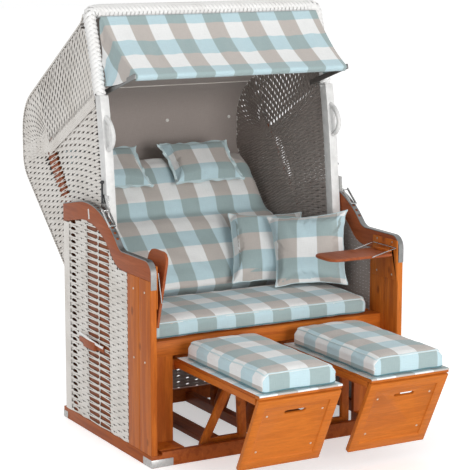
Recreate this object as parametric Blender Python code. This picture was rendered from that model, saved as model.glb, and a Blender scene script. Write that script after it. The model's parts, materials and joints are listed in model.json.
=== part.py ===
"""Hooded beach chair for two: a wicker and wood base, a tilting hood with an awning,
two pull-out footrests, two folding side tables and loose cushions.

Metres, +Z up. The origin is on the floor under the middle of the base, the front
looks along -Y and the right side is +X.
"""

import math

import bmesh
import bpy
from mathutils import Vector

# Driving dimensions of the base, outside to outside
base_width = 1.116
base_depth = 0.800
skid_overhang = 0.020
wall_thick = 0.025
gap = 0.0003
overrun = 0.010
hood_inset = 0.031

# Floor frame
skid_width = 0.045
skid_height = 0.045
crossbar_thick = 0.022
crossbar_height = 0.056
runner_width = 0.070
runner_thick = 0.022
runner_top = 0.040
truss_width = 0.036
truss_bar = 0.040
truss_post = 0.034

# Front boards and cheeks
board_width = 0.0975
board_pair = 2
cheek_clear = 0.006
cheek_front = 0.115
cheek_thick = 0.018
block_height = 0.058

# Seat
seat_rail_low = 0.390
seat_rail_high = 0.432
seat_rail_thick = 0.024
seat_ledge_width = 0.030
seat_rear_room = 0.240
slat_thick = 0.018
slat_gap = 0.01625
slat_count = 5

# Arms, struck round the hood's pivot
pivot_rear_room = 0.215
pivot_z = 0.535
pivot_radius = 0.009
pivot_play = 0.0008
arm_radius = 0.387
arm_front_angle = 136.0
arm_rear_angle = 79.0
arm_flat_angle = 39.09
arm_corner_radius = 0.045
arm_dip_radius = 0.062
arm_depth = 0.070
rail_thick = 0.003
rail_inset = 0.001
strap_drop = 0.102
rail_hole_length = 0.011
rail_hole_width = 0.011
rail_holes_ahead = 2
rail_holes_behind = 9
rail_hole_step = 4.2

# Wicker walls
weave_thick = 0.006
lining_thick = 0.004
open_column_shares = (0.4564, 0.5936)
open_column_width_share = 0.1269
open_row_low = 0.070
open_row_pitch = 0.0247
open_row_height = 0.011
rear_panel_top = 0.385
rear_rail_low = 0.325
frame_bar = 0.050
mid_board_edge = 0.012

# Hood, in depth and height from its pivot
hood_weave_thick = 0.006
cheek_board_thick = 0.012
hood_lining_thick = 0.004
shell_thick = 0.008
roof_front_off = (0.0850, 1.0866)
roof_rear_off = (0.7000, 0.7020)
back_low_off = (0.7000, 0.4370)
shell_foot_off = (0.0800, -0.0920)
roof_round = 0.190
back_round = 0.120
post_width = 0.036
post_depth = 0.045
post_line_offs = (
    (-0.1520, 0.2650), (-0.1410, 0.3700), (-0.1190, 0.5850),
    (-0.0950, 0.7450), (-0.0620, 0.9050), (-0.0007, 1.1200),
)
arch_offs = (
    (-0.0070, 1.1053), (0.0090, 1.1420), (0.0180, 1.1490), (0.0280, 1.1480),
    (0.0844, 1.1050), (0.0844, 1.0610), (0.0405, 1.0610), (0.0405, 1.1053),
)
wall_hub_radius = 0.075
band_start_off = (-0.0050, 0.7920)
band_end_off = (0.4200, 0.5630)
band_width = 0.040
band_proud = 0.003
slot_start_off = (0.4000, 0.5170)
slot_pitch = 0.0235
slot_lean = 45.0
slot_turn = 159.0
slot_length_first = 0.150
slot_length_last = 0.080
slot_height = 0.010
slot_count = 9
slat_line_angle = 52.0
slat_half = 0.034
slat_reach = 0.727
handle_low_off = 0.600
handle_high_off = 0.730
handle_reach = 0.062
handle_radius = 0.010

# Lock bail and its bracket on each arm rail
bail_hinge_angle = 113.0
bail_foot_angle = 124.5
bail_hinge_lift = 0.020
bail_width = 0.029
bail_bar = 0.004
bail_strip = 0.009
bail_eye = 0.0032
bail_play = 0.0005
pull_rod_radius = 0.004
pull_rod_lift = 0.010
pull_rod_length = 0.076
pull_ball_radius = 0.008

# Awning
awning_pivot_off = (-0.0020, 0.8110)
awning_bar_place_off = (-0.2660, 0.8950)
awning_taper = 0.016
awning_top_off = (0.0000, 1.0955)
awning_side_room = 0.041
awning_corner_off = (-0.1890, 0.8680)
awning_tube = 0.009
awning_cloth_thick = 0.004
awning_arm_width = 0.020
awning_arm_thick = 0.005
awning_sag = 0.024
awning_swag = 0.004
awning_folds = 5

# Footrests
footrest_side_room = 0.130
footrest_centre_room = 0.063
footrest_rail_low = 0.346
footrest_rail_high = 0.372
footrest_rail_thick = 0.022
footrest_rear = 0.200
deck_thick = 0.012
deck_rear = 0.085
panel_low = (-0.361, 0.080)
panel_high = (-0.511, 0.370)
panel_frame_thick = 0.018
panel_field_drop = 0.006
panel_frame_width = 0.036
hand_slot_length = 0.088
hand_slot_height = 0.017
hand_slot_down = 0.072
leg_foot_y = 0.048
leg_lean = 20.7
leg_thick = 0.020
leg_half = 0.100
leg_apex_half = 0.020
leg_bar = 0.032
guide_web = 0.005
guide_flange = 0.018
guide_thick = 0.012

# Side tables
table_length = 0.280
table_width = 0.150
table_thick = 0.011
table_front = 0.006
table_corner = 0.040
wire_radius = 0.0022
wire_length = 0.112
wire_pivot_off = 0.009
wire_pivot_down = 0.043
wire_use_angle = 14.0
wire_park_angle = 83.0
board_park_angle = 80.5
board_inner_run = 0.095
wire_pin = 0.008
table_plate_thick = 0.005
table_plate_drop = 0.015
table_plate_height = 0.160
table_plate_depth = 0.172
batten_thick = 0.010
batten_reach = 0.024
clip_length = 0.014
clip_thick = 0.004

# Side handles
grip_length = 0.105
grip_height = 0.034
grip_thick = 0.014
grip_rear_room = 0.262
grip_level = 0.365
strap_length = 0.230
strap_width = 0.022
strap_thick = 0.003

# Cushions
seat_cushion_side_room = 0.048
seat_cushion_front = 0.120
seat_cushion_overlap = 0.012
seat_cushion_thick = 0.070
back_side_room_low = 0.033
back_side_room_high = 0.065
back_lean = 49.4
back_start = 0.004
back_low_run = 0.400
back_high_run = 0.330
back_front_low = 0.094
back_front_high = 0.127
foot_cushion_inset = 0.007
foot_cushion_front = -0.528
foot_cushion_rear = 0.055
foot_cushion_thick = 0.074
head_pillow_size = (0.340, 0.245, 0.062)
head_pillow_shares = (-0.4744, 0.3605)
head_pillow_lift = 0.0043
head_pillow_down = -0.010
head_pillow_lean = 49.4
throw_pillow_size = (0.370, 0.370, 0.095)
# Corners of the slumped pillows: share of the half width inside, then depth from the pivot and lift off the seat
throw_pillow_side_shares = {
    "left": (0.1426, 0.7711, 0.3302, 0.9156),
    "right": (0.3752, 0.9287, 0.5347, 0.9381),
}
throw_pillow_offs = {
    "left": ((-0.0200, -0.0010), (-0.1530, -0.0010), (0.2010, 0.2710), (0.0780, 0.2710)),
    "right": ((-0.1650, 0.0005), (-0.2800, 0.0005), (0.0500, 0.2655), (-0.2550, 0.3255)),
}
pillow_edge = 0.006
pillow_draw_share = 0.075
pillow_swell = 0.62
pad_crown_share = 0.10
pad_round_share = 0.32
pad_pinch = 0.005
pad_end_shares = (1, 0.985, 0.95, 0.5, 0)
pad_width_shares = (0.95, 0.985, 1, 1, 1)
pad_height_shares = (0.66, 0.88, 0.97, 1, 1.02)


def from_pivot(points):
    """Depths and heights given from the hood's pivot, as depths from the base's front and heights."""
    return [(pivot_y + y, pivot_z + z) for y, z in points]


front = -base_depth / 2
half = base_width / 2
inner = half - wall_thick
wall_depth = base_depth - skid_overhang
seat_rear = wall_depth - seat_rear_room
seat_cushion_rear = seat_rear + seat_cushion_overlap
pivot_y = wall_depth - pivot_rear_room
arm_flat_z = pivot_z + arm_radius * math.sin(math.radians(arm_flat_angle))
board_top = arm_flat_z - arm_depth
strap_low = arm_flat_z - strap_drop
table_plate_high = arm_flat_z - table_plate_drop
table_plate_low = table_plate_high - table_plate_height
open_column_lows = [wall_depth * share for share in open_column_shares]
open_column_width = wall_depth * open_column_width_share
mid_board_low = open_column_lows[0] - mid_board_edge
mid_board_high = open_column_lows[1] + open_column_width + mid_board_edge
footrest_half = (inner - footrest_side_room - footrest_centre_room) / 2
footrest_x = footrest_centre_room + footrest_half
cheek_inner = footrest_x + footrest_half + cheek_clear
hood_half = half - hood_inset
roof_front, roof_rear, back_low, shell_foot = from_pivot((roof_front_off, roof_rear_off, back_low_off, shell_foot_off))
band_start, band_end, slot_start = from_pivot((band_start_off, band_end_off, slot_start_off))
awning_pivot, awning_bar_place = from_pivot((awning_pivot_off, awning_bar_place_off))
awning_top, awning_corner = from_pivot((awning_top_off, awning_corner_off))
post_line = from_pivot(post_line_offs)
arch_outline = from_pivot(arch_offs)
handle_low = pivot_z + handle_low_off
handle_high = pivot_z + handle_high_off
pull_rod_low = pivot_z + arm_radius + pull_rod_lift
pull_rod_high = pull_rod_low + pull_rod_length
awning_top_half = hood_half - awning_side_room
awning_half = awning_top_half - awning_taper
seat_cushion_half = inner - seat_cushion_side_room
back_half_low = hood_half - back_side_room_low
back_half_high = hood_half - back_side_room_high
foot_cushion_half = footrest_half - foot_cushion_inset
grip_place = (wall_depth - grip_rear_room, grip_level)
SIDES = (("left", -1), ("right", 1))

COLOURS = {
    "wood": (0.600, 0.290, 0.120), "wood_arm": (0.520, 0.240, 0.130), "wood_dark": (0.330, 0.160, 0.080),
    "wicker_white": (0.830, 0.810, 0.780), "wicker_taupe": (0.300, 0.275, 0.260), "white": (0.900, 0.900, 0.890),
    "check": (0.700, 0.780, 0.790), "steel": (0.560, 0.570, 0.580), "chrome": (0.780, 0.790, 0.800),
    "zinc": (0.620, 0.640, 0.650), "table_wood": (0.560, 0.260, 0.110), "panel_wood": (0.720, 0.340, 0.110),
    "deck": (0.740, 0.780, 0.770), "black": (0.030, 0.030, 0.030),
}
METALS = ("steel", "chrome", "zinc")


def clear_scene():
    """Remove everything that the file starts with."""
    for thing in list(bpy.data.objects):
        bpy.data.objects.remove(thing, do_unlink=True)


def material(name):
    """One Principled material per colour name."""
    found = bpy.data.materials.get(name)
    if found:
        return found
    made = bpy.data.materials.new(name)
    made.use_nodes = True
    shader = made.node_tree.nodes["Principled BSDF"]
    shader.inputs["Base Color"].default_value = (*COLOURS[name], 1)
    shader.inputs["Metallic"].default_value = 1 if name in METALS else 0
    shader.inputs["Roughness"].default_value = 0.35 if name in METALS else 0.6
    return made


def finish(bm, name, colour, bevel=0, smooth=0, segments=1):
    """Turn a bmesh into a named object with its material and an optional bevel."""
    bmesh.ops.remove_doubles(bm, verts=bm.verts, dist=gap / 30)
    bmesh.ops.recalc_face_normals(bm, faces=bm.faces)
    mesh = bpy.data.meshes.new(name)
    bm.to_mesh(mesh)
    bm.free()
    made = bpy.data.objects.new(name, mesh)
    bpy.context.scene.collection.objects.link(made)
    mesh.materials.append(material(colour))
    if smooth:
        mesh.shade_smooth()
        mesh.set_sharp_from_angle(angle=math.radians(smooth))
    if bevel:
        edge = made.modifiers.new("edges", "BEVEL")
        edge.width = bevel
        edge.segments = segments
        edge.limit_method = "ANGLE"
        edge.angle_limit = math.radians(50)
    return made


def cut(target, cutter_bm, name, operation="DIFFERENCE"):
    """Take a hidden shape away from an object, or join it on."""
    cutter = finish(cutter_bm, name, "black")
    cutter.hide_render = True
    cutter.display_type = "WIRE"
    tool = target.modifiers.new(name, "BOOLEAN")
    tool.operation = operation
    tool.object = cutter
    tool.solver = "EXACT"
    return target


def join(target, shape_bm, name):
    """Join a hidden shape that overlaps an object."""
    return cut(target, shape_bm, name, "UNION")


def add_turned(bm, start, along, profile, sides=16):
    """A solid turned round an axis: the profile gives distance along it and radius."""
    axis = Vector(along).normalized()
    side = axis.orthogonal().normalized()
    other = axis.cross(side)
    rings = []
    for run, radius in profile:
        centre = Vector(start) + axis * run
        turns = [2 * math.pi * k / sides for k in range(sides)]
        rings.append([centre + radius * (math.cos(t) * side + math.sin(t) * other) for t in turns])
    add_loft(bm, rings)


def add_prism(bm, outline, low, high, axis="X"):
    """A straight prism: outline in the two other axes, in X, Y, Z order."""
    order = {"X": lambda p, t: (t, p[0], p[1]), "Y": lambda p, t: (p[0], t, p[1]), "Z": lambda p, t: (p[0], p[1], t)}[axis]
    ends = [[bm.verts.new(order(p, t)) for p in outline] for t in (low, high)]
    count = len(outline)
    for i in range(count):
        j = (i + 1) % count
        bm.faces.new((ends[0][i], ends[0][j], ends[1][j], ends[1][i]))
    bm.faces.new(ends[0][::-1])
    bm.faces.new(ends[1])


def add_strip(bm, first, second, low, high):
    """A bent bar along X between two lines of equal count, its ends made of quads."""
    sheets = [[[bm.verts.new((x, *p)) for p in line] for line in (first, second)] for x in (low, high)]
    for k in range(len(first) - 1):
        for a, b in sheets:
            bm.faces.new((a[k], a[k + 1], b[k + 1], b[k]))
        for line in (0, 1):
            one, two = sheets[0][line], sheets[1][line]
            bm.faces.new((one[k], one[k + 1], two[k + 1], two[k]))
    for k in (0, -1):
        (a, b), (c, d) = sheets
        bm.faces.new((a[k], b[k], d[k], c[k]))


def add_pierced_strip(bm, first, second, columns, windows):
    """A bent strip whose cells, given by stretch and column, can be left open."""
    lines = [[[bm.verts.new((x, *p)) for x in columns] for p in line] for line in (first, second)]
    stretches = len(first) - 1
    cells = {(i, j) for i in range(stretches) for j in range(len(columns) - 1)} - set(windows)
    for i, j in cells:
        for line in lines:
            bm.faces.new((line[i][j], line[i + 1][j], line[i + 1][j + 1], line[i][j + 1]))
        borders = (
            ((i - 1, j), (i, j), (i, j + 1)), ((i + 1, j), (i + 1, j), (i + 1, j + 1)),
            ((i, j - 1), (i, j), (i + 1, j)), ((i, j + 1), (i, j + 1), (i + 1, j + 1)),
        )
        for beside, a, b in borders:
            if beside not in cells:
                low, high = lines
                bm.faces.new((low[a[0]][a[1]], low[b[0]][b[1]], high[b[0]][b[1]], high[a[0]][a[1]]))


def add_box(bm, low, high):
    """A box between two corners, in any order."""
    y0, y1 = sorted((low[1], high[1]))
    z0, z1 = sorted((low[2], high[2]))
    x0, x1 = sorted((low[0], high[0]))
    add_prism(bm, ((y0, z0), (y1, z0), (y1, z1), (y0, z1)), x0, x1)


def add_cylinder(bm, start, end, radius, sides=16, end_radius=None):
    """A round bar or cone between two points."""
    a, b = Vector(start), Vector(end)
    along = (b - a).normalized()
    side = along.orthogonal().normalized()
    other = along.cross(side)
    rings = []
    for centre, r in ((a, radius), (b, radius if end_radius is None else end_radius)):
        ring = []
        for k in range(sides):
            turn = 2 * math.pi * k / sides
            ring.append(bm.verts.new(centre + r * (math.cos(turn) * side + math.sin(turn) * other)))
        rings.append(ring)
    for k in range(sides):
        j = (k + 1) % sides
        bm.faces.new((rings[0][k], rings[0][j], rings[1][j], rings[1][k]))
    bm.faces.new(rings[0][::-1])
    bm.faces.new(rings[1])


def add_loft(bm, rings):
    """Join closed rings of equal count into one capped body."""
    loops = [[bm.verts.new(p) for p in ring] for ring in rings]
    count = len(loops[0])
    for a, b in zip(loops, loops[1:]):
        for k in range(count):
            j = (k + 1) % count
            bm.faces.new((a[k], a[j], b[j], b[k]))
    bm.faces.new(loops[0][::-1])
    bm.faces.new(loops[-1])


def add_wire(bm, points, radius, sides=8):
    """A bent round bar along points, mitred at the bends."""
    pts = [Vector(p) for p in points]
    normal = (pts[1] - pts[0]).orthogonal().normalized()
    rings = []
    for i, p in enumerate(pts):
        before = (p - pts[i - 1]).normalized() if i else (pts[1] - p).normalized()
        after = (pts[i + 1] - p).normalized() if i < len(pts) - 1 else before
        tangent = (before + after).normalized()
        normal = (normal - normal.dot(before) * before).normalized()
        side = before.cross(normal)
        ring = []
        for k in range(sides):
            turn = 2 * math.pi * k / sides
            arm = radius * (math.cos(turn) * normal + math.sin(turn) * side)
            reach = -arm.dot(tangent) / max(before.dot(tangent), 0.3)
            ring.append(p + arm + reach * before)
        rings.append(ring)
        normal = (normal - normal.dot(after) * after).normalized()
    add_loft(bm, rings)


def arc(centre, radius, start, end, steps):
    """Points of an arc in degrees, both ends included."""
    turns = [math.radians(start + (end - start) * i / steps) for i in range(steps + 1)]
    return [(centre[0] + radius * math.cos(t), centre[1] + radius * math.sin(t)) for t in turns]


def fillet(corners, radii, steps=6):
    """An open path whose inner corners are rounded."""
    path = [corners[0]]
    for i, radius in enumerate(radii, start=1):
        here = Vector(corners[i])
        into = (Vector(corners[i - 1]) - here).normalized()
        out = (Vector(corners[i + 1]) - here).normalized()
        spread = into.angle(out) / 2
        centre = here + (into + out).normalized() * radius / math.sin(spread)
        touch = radius / math.tan(spread)
        first = here + into * touch - centre
        last = here + out * touch - centre
        turn = first.angle_signed(last)
        for k in range(steps + 1):
            angle = -turn * k / steps
            c, s = math.cos(angle), math.sin(angle)
            path.append((centre.x + first.x * c - first.y * s, centre.y + first.x * s + first.y * c))
    path.append(corners[-1])
    return path


def offset(path, distance):
    """A parallel path; positive is to the left of the direction of travel."""
    moved = []
    for i, p in enumerate(path):
        here = Vector(p)
        before = (here - Vector(path[i - 1])).normalized() if i else None
        after = (Vector(path[i + 1]) - here).normalized() if i < len(path) - 1 else None
        before = before or after
        after = after or before
        left = Vector((-(before.y + after.y), before.x + after.x)).normalized()
        stretch = left.dot(Vector((-after.y, after.x)))
        moved.append(tuple(here + left * distance / stretch))
    return moved


def clip(outline, point, normal):
    """The part of an outline on the side of a line that the normal points away from."""
    kept = []
    reach = [Vector(p).dot(Vector(normal)) - Vector(point).dot(Vector(normal)) for p in outline]
    for i, p in enumerate(outline):
        j = (i + 1) % len(outline)
        if reach[i] <= 0:
            kept.append(p)
        if (reach[i] < 0) != (reach[j] < 0) and reach[i] != reach[j]:
            share = reach[i] / (reach[i] - reach[j])
            kept.append(tuple(Vector(p) + (Vector(outline[j]) - Vector(p)) * share))
    return kept


def placed(outline):
    """Shift an outline's depths from the base's front to the part's frame."""
    return [(front + y, z) for y, z in outline]


def polar(angle, radius):
    """A point round the hood's pivot, from the base's front."""
    turn = math.radians(angle)
    return pivot_y + radius * math.cos(turn), pivot_z + radius * math.sin(turn)


def floor_frame():
    """Skids and floor runners, joined by the two crossbars."""
    bm = bmesh.new()
    rear = front + wall_depth
    run_low = front + crossbar_thick / 2
    run_high = rear - crossbar_thick / 2
    for _, s in SIDES:
        add_box(bm, (s * half, front, 0), (s * (half - skid_width), front + base_depth, skid_height))
        x = s * footrest_x
        low = (x - runner_width / 2, run_low, runner_top - runner_thick)
        add_box(bm, low, (x + runner_width / 2, run_high, runner_top))
    frame = finish(bm, "floor_frame", "wood_dark")
    reach = half - skid_width / 2
    bars = bmesh.new()
    for y in (front, rear - crossbar_thick):
        lip = gap
        top = skid_height - lip
        ends = half - skid_width - gap
        shape = (
            (-reach, lip), (reach, lip), (reach, top), (ends, top), (ends, crossbar_height),
            (-ends, crossbar_height), (-ends, top), (-reach, top),
        )
        inset = gap if y == front else 0
        add_prism(bars, shape, y + inset, y + crossbar_thick, "Y")
    join(frame, bars, "crossbars")


def centre_truss():
    """Rails, posts and braces between the footrests, with a cleat on each side for them."""
    low = front + crossbar_thick + gap
    high = front + wall_depth - crossbar_thick - gap
    seat_end = front + seat_rear
    w = truss_width / 2
    top = seat_rail_low - gap
    bm = bmesh.new()
    add_box(bm, (-w, low, 0), (w, high, truss_bar))
    add_box(bm, (-w, low, top - truss_bar), (w, seat_end, top))
    truss = finish(bm, "centre_truss", "wood_dark")
    sunk = truss_bar / 4
    foot = truss_bar - sunk
    head = top - truss_bar + sunk
    web = bmesh.new()
    thin = w - gap
    posts = (low, (low + seat_end - truss_post) / 2, seat_end - truss_post)
    for y in posts:
        add_box(web, (-thin, y + gap, foot), (thin, y + truss_post - gap, head))
    for a, b in zip(posts, posts[1:]):
        y0 = a + truss_post + gap
        y1 = b - gap
        corner = truss_post
        shape = ((y0, head - corner), (y0, head), (y0 + corner, head), (y1, foot + corner), (y1, foot), (y1 - corner, foot))
        add_prism(web, shape, -thin, thin)
    join(truss, web, "truss_web")
    cleats = bmesh.new()
    under = footrest_rail_low - gap
    edge = footrest_x - footrest_half - gap
    for s in (-1, 1):
        shape = (
            (0 if s > 0 else -gap, under - guide_thick), (0 if s > 0 else -gap, footrest_rail_high),
            (s * edge, footrest_rail_high), (s * edge, under),
            (s * (edge + guide_flange), under), (s * (edge + guide_flange), under - guide_thick),
        )
        add_prism(cleats, shape, front + cheek_front, seat_end - gap, "Y")
    join(truss, cleats, "truss_cleats")


def front_woodwork():
    """A grooved board pair at each side, and the cheek boards on their blocks."""
    groove = gap * 8
    low = skid_height + gap
    for name, s in SIDES:
        seam = front + board_width
        end = front + board_pair * board_width
        shape = (
            (inner, front), (half - groove, front), (half, front + groove), (half, seam - groove),
            (half - groove, seam), (half, seam + groove), (half, end), (inner, end),
            (inner, seam + groove), (inner + groove, seam), (inner, seam - groove),
        )
        bm = bmesh.new()
        add_prism(bm, [(s * x, y) for x, y in shape], low, board_top - gap, "Z")
        finish(bm, f"front_boards_{name}", "wood")
    for name, s in SIDES:
        x0 = s * cheek_inner
        y0 = front + cheek_front
        bm = bmesh.new()
        foot = (x0, front + crossbar_thick + gap, 0)
        add_box(bm, foot, (s * (half - skid_width - gap), y0 + cheek_thick, block_height))
        cheek = finish(bm, f"cheek_board_{name}", "wood")
        board = bmesh.new()
        low_corner = (x0 + s * gap, y0, skid_height + gap)
        add_box(board, low_corner, (s * (inner - gap), y0 + cheek_thick - gap, seat_rail_low - gap))
        join(cheek, board, f"cheek_upright_{name}")


def crest_angles():
    """Angles of the crest's points, front to rear, and which stretches hold a hole."""
    reach = math.degrees(rail_hole_length / arm_radius) / 2
    angles = [arm_front_angle]
    open_stretches = []
    for k in range(rail_holes_ahead, -rail_holes_behind - 1, -1):
        centre = bail_foot_angle + k * rail_hole_step
        open_stretches.append(len(angles))
        angles += [centre + reach, centre - reach]
    rest = 4
    last = angles[-1]
    angles += [last + (arm_rear_angle - last) * i / rest for i in range(1, rest + 1)]
    return angles, open_stretches


def arm_top():
    """The arm's top edge from the front to the rear, from the base's front."""
    angle = math.radians(arm_front_angle - 90)
    start = polar(arm_front_angle, arm_radius)
    drop = arm_dip_radius * (1 - math.cos(angle))
    slope = (start[1] - drop - arm_flat_z) / math.sin(angle)
    dip_end = (start[0] - slope * math.cos(angle), start[1] - slope * math.sin(angle))
    centre = (dip_end[0] - arm_dip_radius * math.sin(angle), arm_flat_z + arm_dip_radius)
    dip = arc(centre, arm_dip_radius, 270, 270 + math.degrees(angle), 6)
    crest = [polar(angle, arm_radius) for angle in crest_angles()[0]]
    last = crest[-1]
    fall = math.radians(arm_rear_angle - 90)
    run = wall_depth - last[0]
    tail = (wall_depth, last[1] + run * math.tan(fall))
    return dip, crest, tail


def arm_lines():
    """The full top line and the parallel bottom line of an arm."""
    dip, crest, tail = arm_top()
    top = [(0, arm_flat_z)] + dip + crest + [tail]
    bottom = offset(top, -arm_depth)
    slope = (bottom[-1][1] - bottom[-2][1]) / (bottom[-1][0] - bottom[-2][0])
    bottom[-1] = (wall_depth, bottom[-2][1] + slope * (wall_depth - bottom[-2][0]))
    return top, bottom


def arms():
    """S-shaped arm boards and the steel rail with its locking holes."""
    top, bottom = arm_lines()
    nose = arc((arm_corner_radius, arm_flat_z - arm_corner_radius), arm_corner_radius, 180, 90, 6)
    outline = placed(nose + top[1:] + bottom[::-1])
    strap = [(0, strap_low)] + nose + top[1:]
    inner_line = offset(strap, gap)
    outer_line = offset(strap, gap + rail_thick)
    for name, s in SIDES:
        bm = bmesh.new()
        add_prism(bm, outline, s * inner, s * half)
        finish(bm, f"arm_{name}", "wood_arm", bevel=0.0015)
        bm = bmesh.new()
        x0 = inner + rail_inset
        x1 = half - rail_inset
        middle = (x0 + x1) / 2
        columns = [s * x for x in (x0, middle - rail_hole_width / 2, middle + rail_hole_width / 2, x1)]
        first = len(strap) - 1 - len(crest_angles()[0])
        windows = [(first + k, 1) for k in crest_angles()[1]]
        add_pierced_strip(bm, placed(inner_line), placed(outer_line), columns, windows)
        finish(bm, f"arm_rail_{name}", "steel")


def side_walls():
    """Wicker outside with open columns, a wood frame and a lining on each side."""
    _, bottom = arm_lines()
    under = [p for p in offset(bottom, -gap)]
    low = skid_height + gap
    start = board_pair * board_width + gap
    base_line = [(y, z) for y, z in under if y > start]
    skin = [(start, low), (wall_depth, low)] + base_line[::-1] + [(start, board_top - gap)]
    skin = placed(skin)
    for name, s in SIDES:
        bm = bmesh.new()
        add_prism(bm, skin, s * (half - weave_thick), s * half)
        panel = finish(bm, f"side_panel_{name}", "wicker_white")
        holes = bmesh.new()
        for y0 in open_column_lows:
            for k in range(60):
                z0 = open_row_low + k * open_row_pitch
                roof = min(z for y, z in under if y0 - 0.02 < y < y0 + open_column_width + 0.02)
                if z0 + open_row_height > roof - open_row_height:
                    break
                z1 = z0 + open_row_height
                tip = open_row_height / 2
                y1 = y0 + open_column_width
                mid = (z0 + z1) / 2
                shape = ((y0, mid), (y0 + tip, z0), (y1 - tip, z0), (y1, mid), (y1 - tip, z1), (y0 + tip, z1))
                reach = half - weave_thick - gap / 2
                add_prism(holes, placed(shape), s * reach, s * (half + overrun))
        cut(panel, holes, f"cut_side_{name}")
    side_frames(skin, start)
    rear_wall()


def side_frames(skin, start):
    """Lining, uprights and sill of each side wall in one frame."""
    low = skid_height + gap
    uprights = (
        (start, start + frame_bar), (mid_board_low, mid_board_high),
        (wall_depth - frame_bar, wall_depth),
    )
    y0 = front + start
    y1 = front + wall_depth
    sill = ((y0, low), (y1, low), (y1, low + frame_bar), (y0, low + frame_bar))
    inside = [clip(skin, (y0 + gap, 0), (-1, 0)), clip(list(sill), (y0 + gap, 0), (-1, 0))]
    for name, s in SIDES:
        bm = bmesh.new()
        add_prism(bm, skin, s * inner, s * (inner + lining_thick))
        wall = finish(bm, f"side_frame_{name}", "wood")
        timber = bmesh.new()
        x0 = s * (inner + lining_thick / 2)
        x1 = s * (half - weave_thick - gap)
        shapes = [list(sill)]
        for a, b in uprights:
            post = clip(skin, (front + a, 0), (-1, 0))
            post = clip(post, (front + b, 0), (1, 0))
            shapes.append(clip(post, (0, low + frame_bar + gap), (0, -1)))
        for shape in shapes:
            shape = clip(clip(shape, (y0 + gap, 0), (-1, 0)), (y1 - gap, 0), (1, 0))
            add_prism(timber, clip(shape, (0, low + gap), (0, -1)), x0, x1)
        join(wall, timber, f"side_timber_{name}")


def rear_wall():
    """Low wicker back panel with its top rail, in one section."""
    reach = inner - gap
    rear = front + wall_depth
    low = crossbar_height + gap
    face = rear - weave_thick
    inside = face - crossbar_thick
    shape = (
        (rear, low), (rear, rear_panel_top), (inside, rear_panel_top),
        (inside, rear_rail_low), (face, rear_rail_low), (face, low),
    )
    bm = bmesh.new()
    add_prism(bm, shape, -reach, reach)
    finish(bm, "rear_panel", "wicker_white")


def seat():
    """Slatted seat frame and the outer guides that carry the footrests."""
    reach = inner - gap
    y0 = front + cheek_front
    y1 = front + seat_rear
    sunk = slat_thick / 4
    bm = bmesh.new()
    add_box(bm, (-reach, y0, seat_rail_low), (reach, y0 + seat_rail_thick, seat_rail_high))
    add_box(bm, (-reach, y1 - seat_rail_thick, seat_rail_low), (reach, y1, seat_rail_high))
    frame = finish(bm, "seat_frame", "wood")
    ledges = bmesh.new()
    mid = seat_rail_thick / 2
    for _, s in SIDES:
        x1 = s * (reach - gap)
        low = (s * (reach - seat_ledge_width), y0 + mid, seat_rail_low + gap)
        add_box(ledges, low, (x1, y1 - mid, seat_rail_high - gap))
    join(frame, ledges, "seat_ledges")
    slats = bmesh.new()
    slat_width = (seat_rear - cheek_front - (slat_count - 1) * slat_gap) / slat_count
    pitch = slat_width + slat_gap
    for k in range(slat_count):
        y = y0 + k * pitch + (gap if k == 0 else 0)
        end = y0 + k * pitch + slat_width - (gap if k == slat_count - 1 else 0)
        edge = reach - 2 * gap
        add_box(slats, (-edge, y, seat_rail_high - sunk), (edge, end, seat_rail_high + slat_thick))
    join(frame, slats, "seat_slats")

    rear = front + wall_depth - weave_thick - crossbar_thick - gap
    under = footrest_rail_low - gap
    edge = footrest_x + footrest_half + gap
    outer = cheek_inner - gap
    for name, s in SIDES:
        shape = (
            (s * outer, under - guide_thick), (s * outer, footrest_rail_high), (s * edge, footrest_rail_high),
            (s * edge, under), (s * (edge - guide_flange), under), (s * (edge - guide_flange), under - guide_thick),
        )
        bm = bmesh.new()
        add_prism(bm, shape, y0, rear, "Y")
        finish(bm, f"footrest_guide_{name}", "wood_dark")


def pivots():
    """A steel plate on each side wall, with the headed pin that the hood turns on."""
    centre = (front + pivot_y, pivot_z)
    head = inner - gap
    grip = hood_half - hood_weave_thick - cheek_board_thick - hood_lining_thick - gap
    plate = 4 * pivot_radius
    cap = 1.7 * pivot_radius
    for name, s in SIDES:
        bm = bmesh.new()
        neck = head - rail_thick
        ends = grip - gap
        profile = (
            (0, plate), (rail_thick, plate), (rail_thick, pivot_radius), (head - ends, pivot_radius),
            (head - ends, cap), (head - ends + rail_thick, cap),
        )
        add_turned(bm, (s * head, *centre), (-s, 0, 0), profile, 24)
        finish(bm, f"hood_pivot_{name}", "steel", smooth=40)


def shell_path():
    """The hood's outer line over the roof and down the back."""
    return fillet([roof_front, roof_rear, back_low, shell_foot], (roof_round, back_round), 7)


def post_edge():
    """The front edge of the posts, bottom to top."""
    return list(post_line)


def hood_side_outline():
    """The hood's side between the posts, the arch and the shell."""
    arch_rear = arch_outline[4][0] + gap
    under_arch = arch_outline[5][1] - gap
    back = trimmed(offset(shell_path(), -(shell_thick + gap)), arch_rear)
    edge = offset(post_edge(), -(post_depth + gap))
    kept = [p for p in edge if p[1] < under_arch]
    line = raised(kept + [edge[len(kept)]], under_arch)
    hub = arc((pivot_y, pivot_z), wall_hub_radius, 195, 295, 8)
    rise = (Vector(post_line[1]) - Vector(post_line[0])).normalized() * gap
    foot = tuple(Vector(post_line[0]) - rise)
    corner = tuple(Vector(line[0]) - rise)
    return back + hub[::-1] + [foot, corner] + line[1:] + [(arch_rear, under_arch)]


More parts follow.
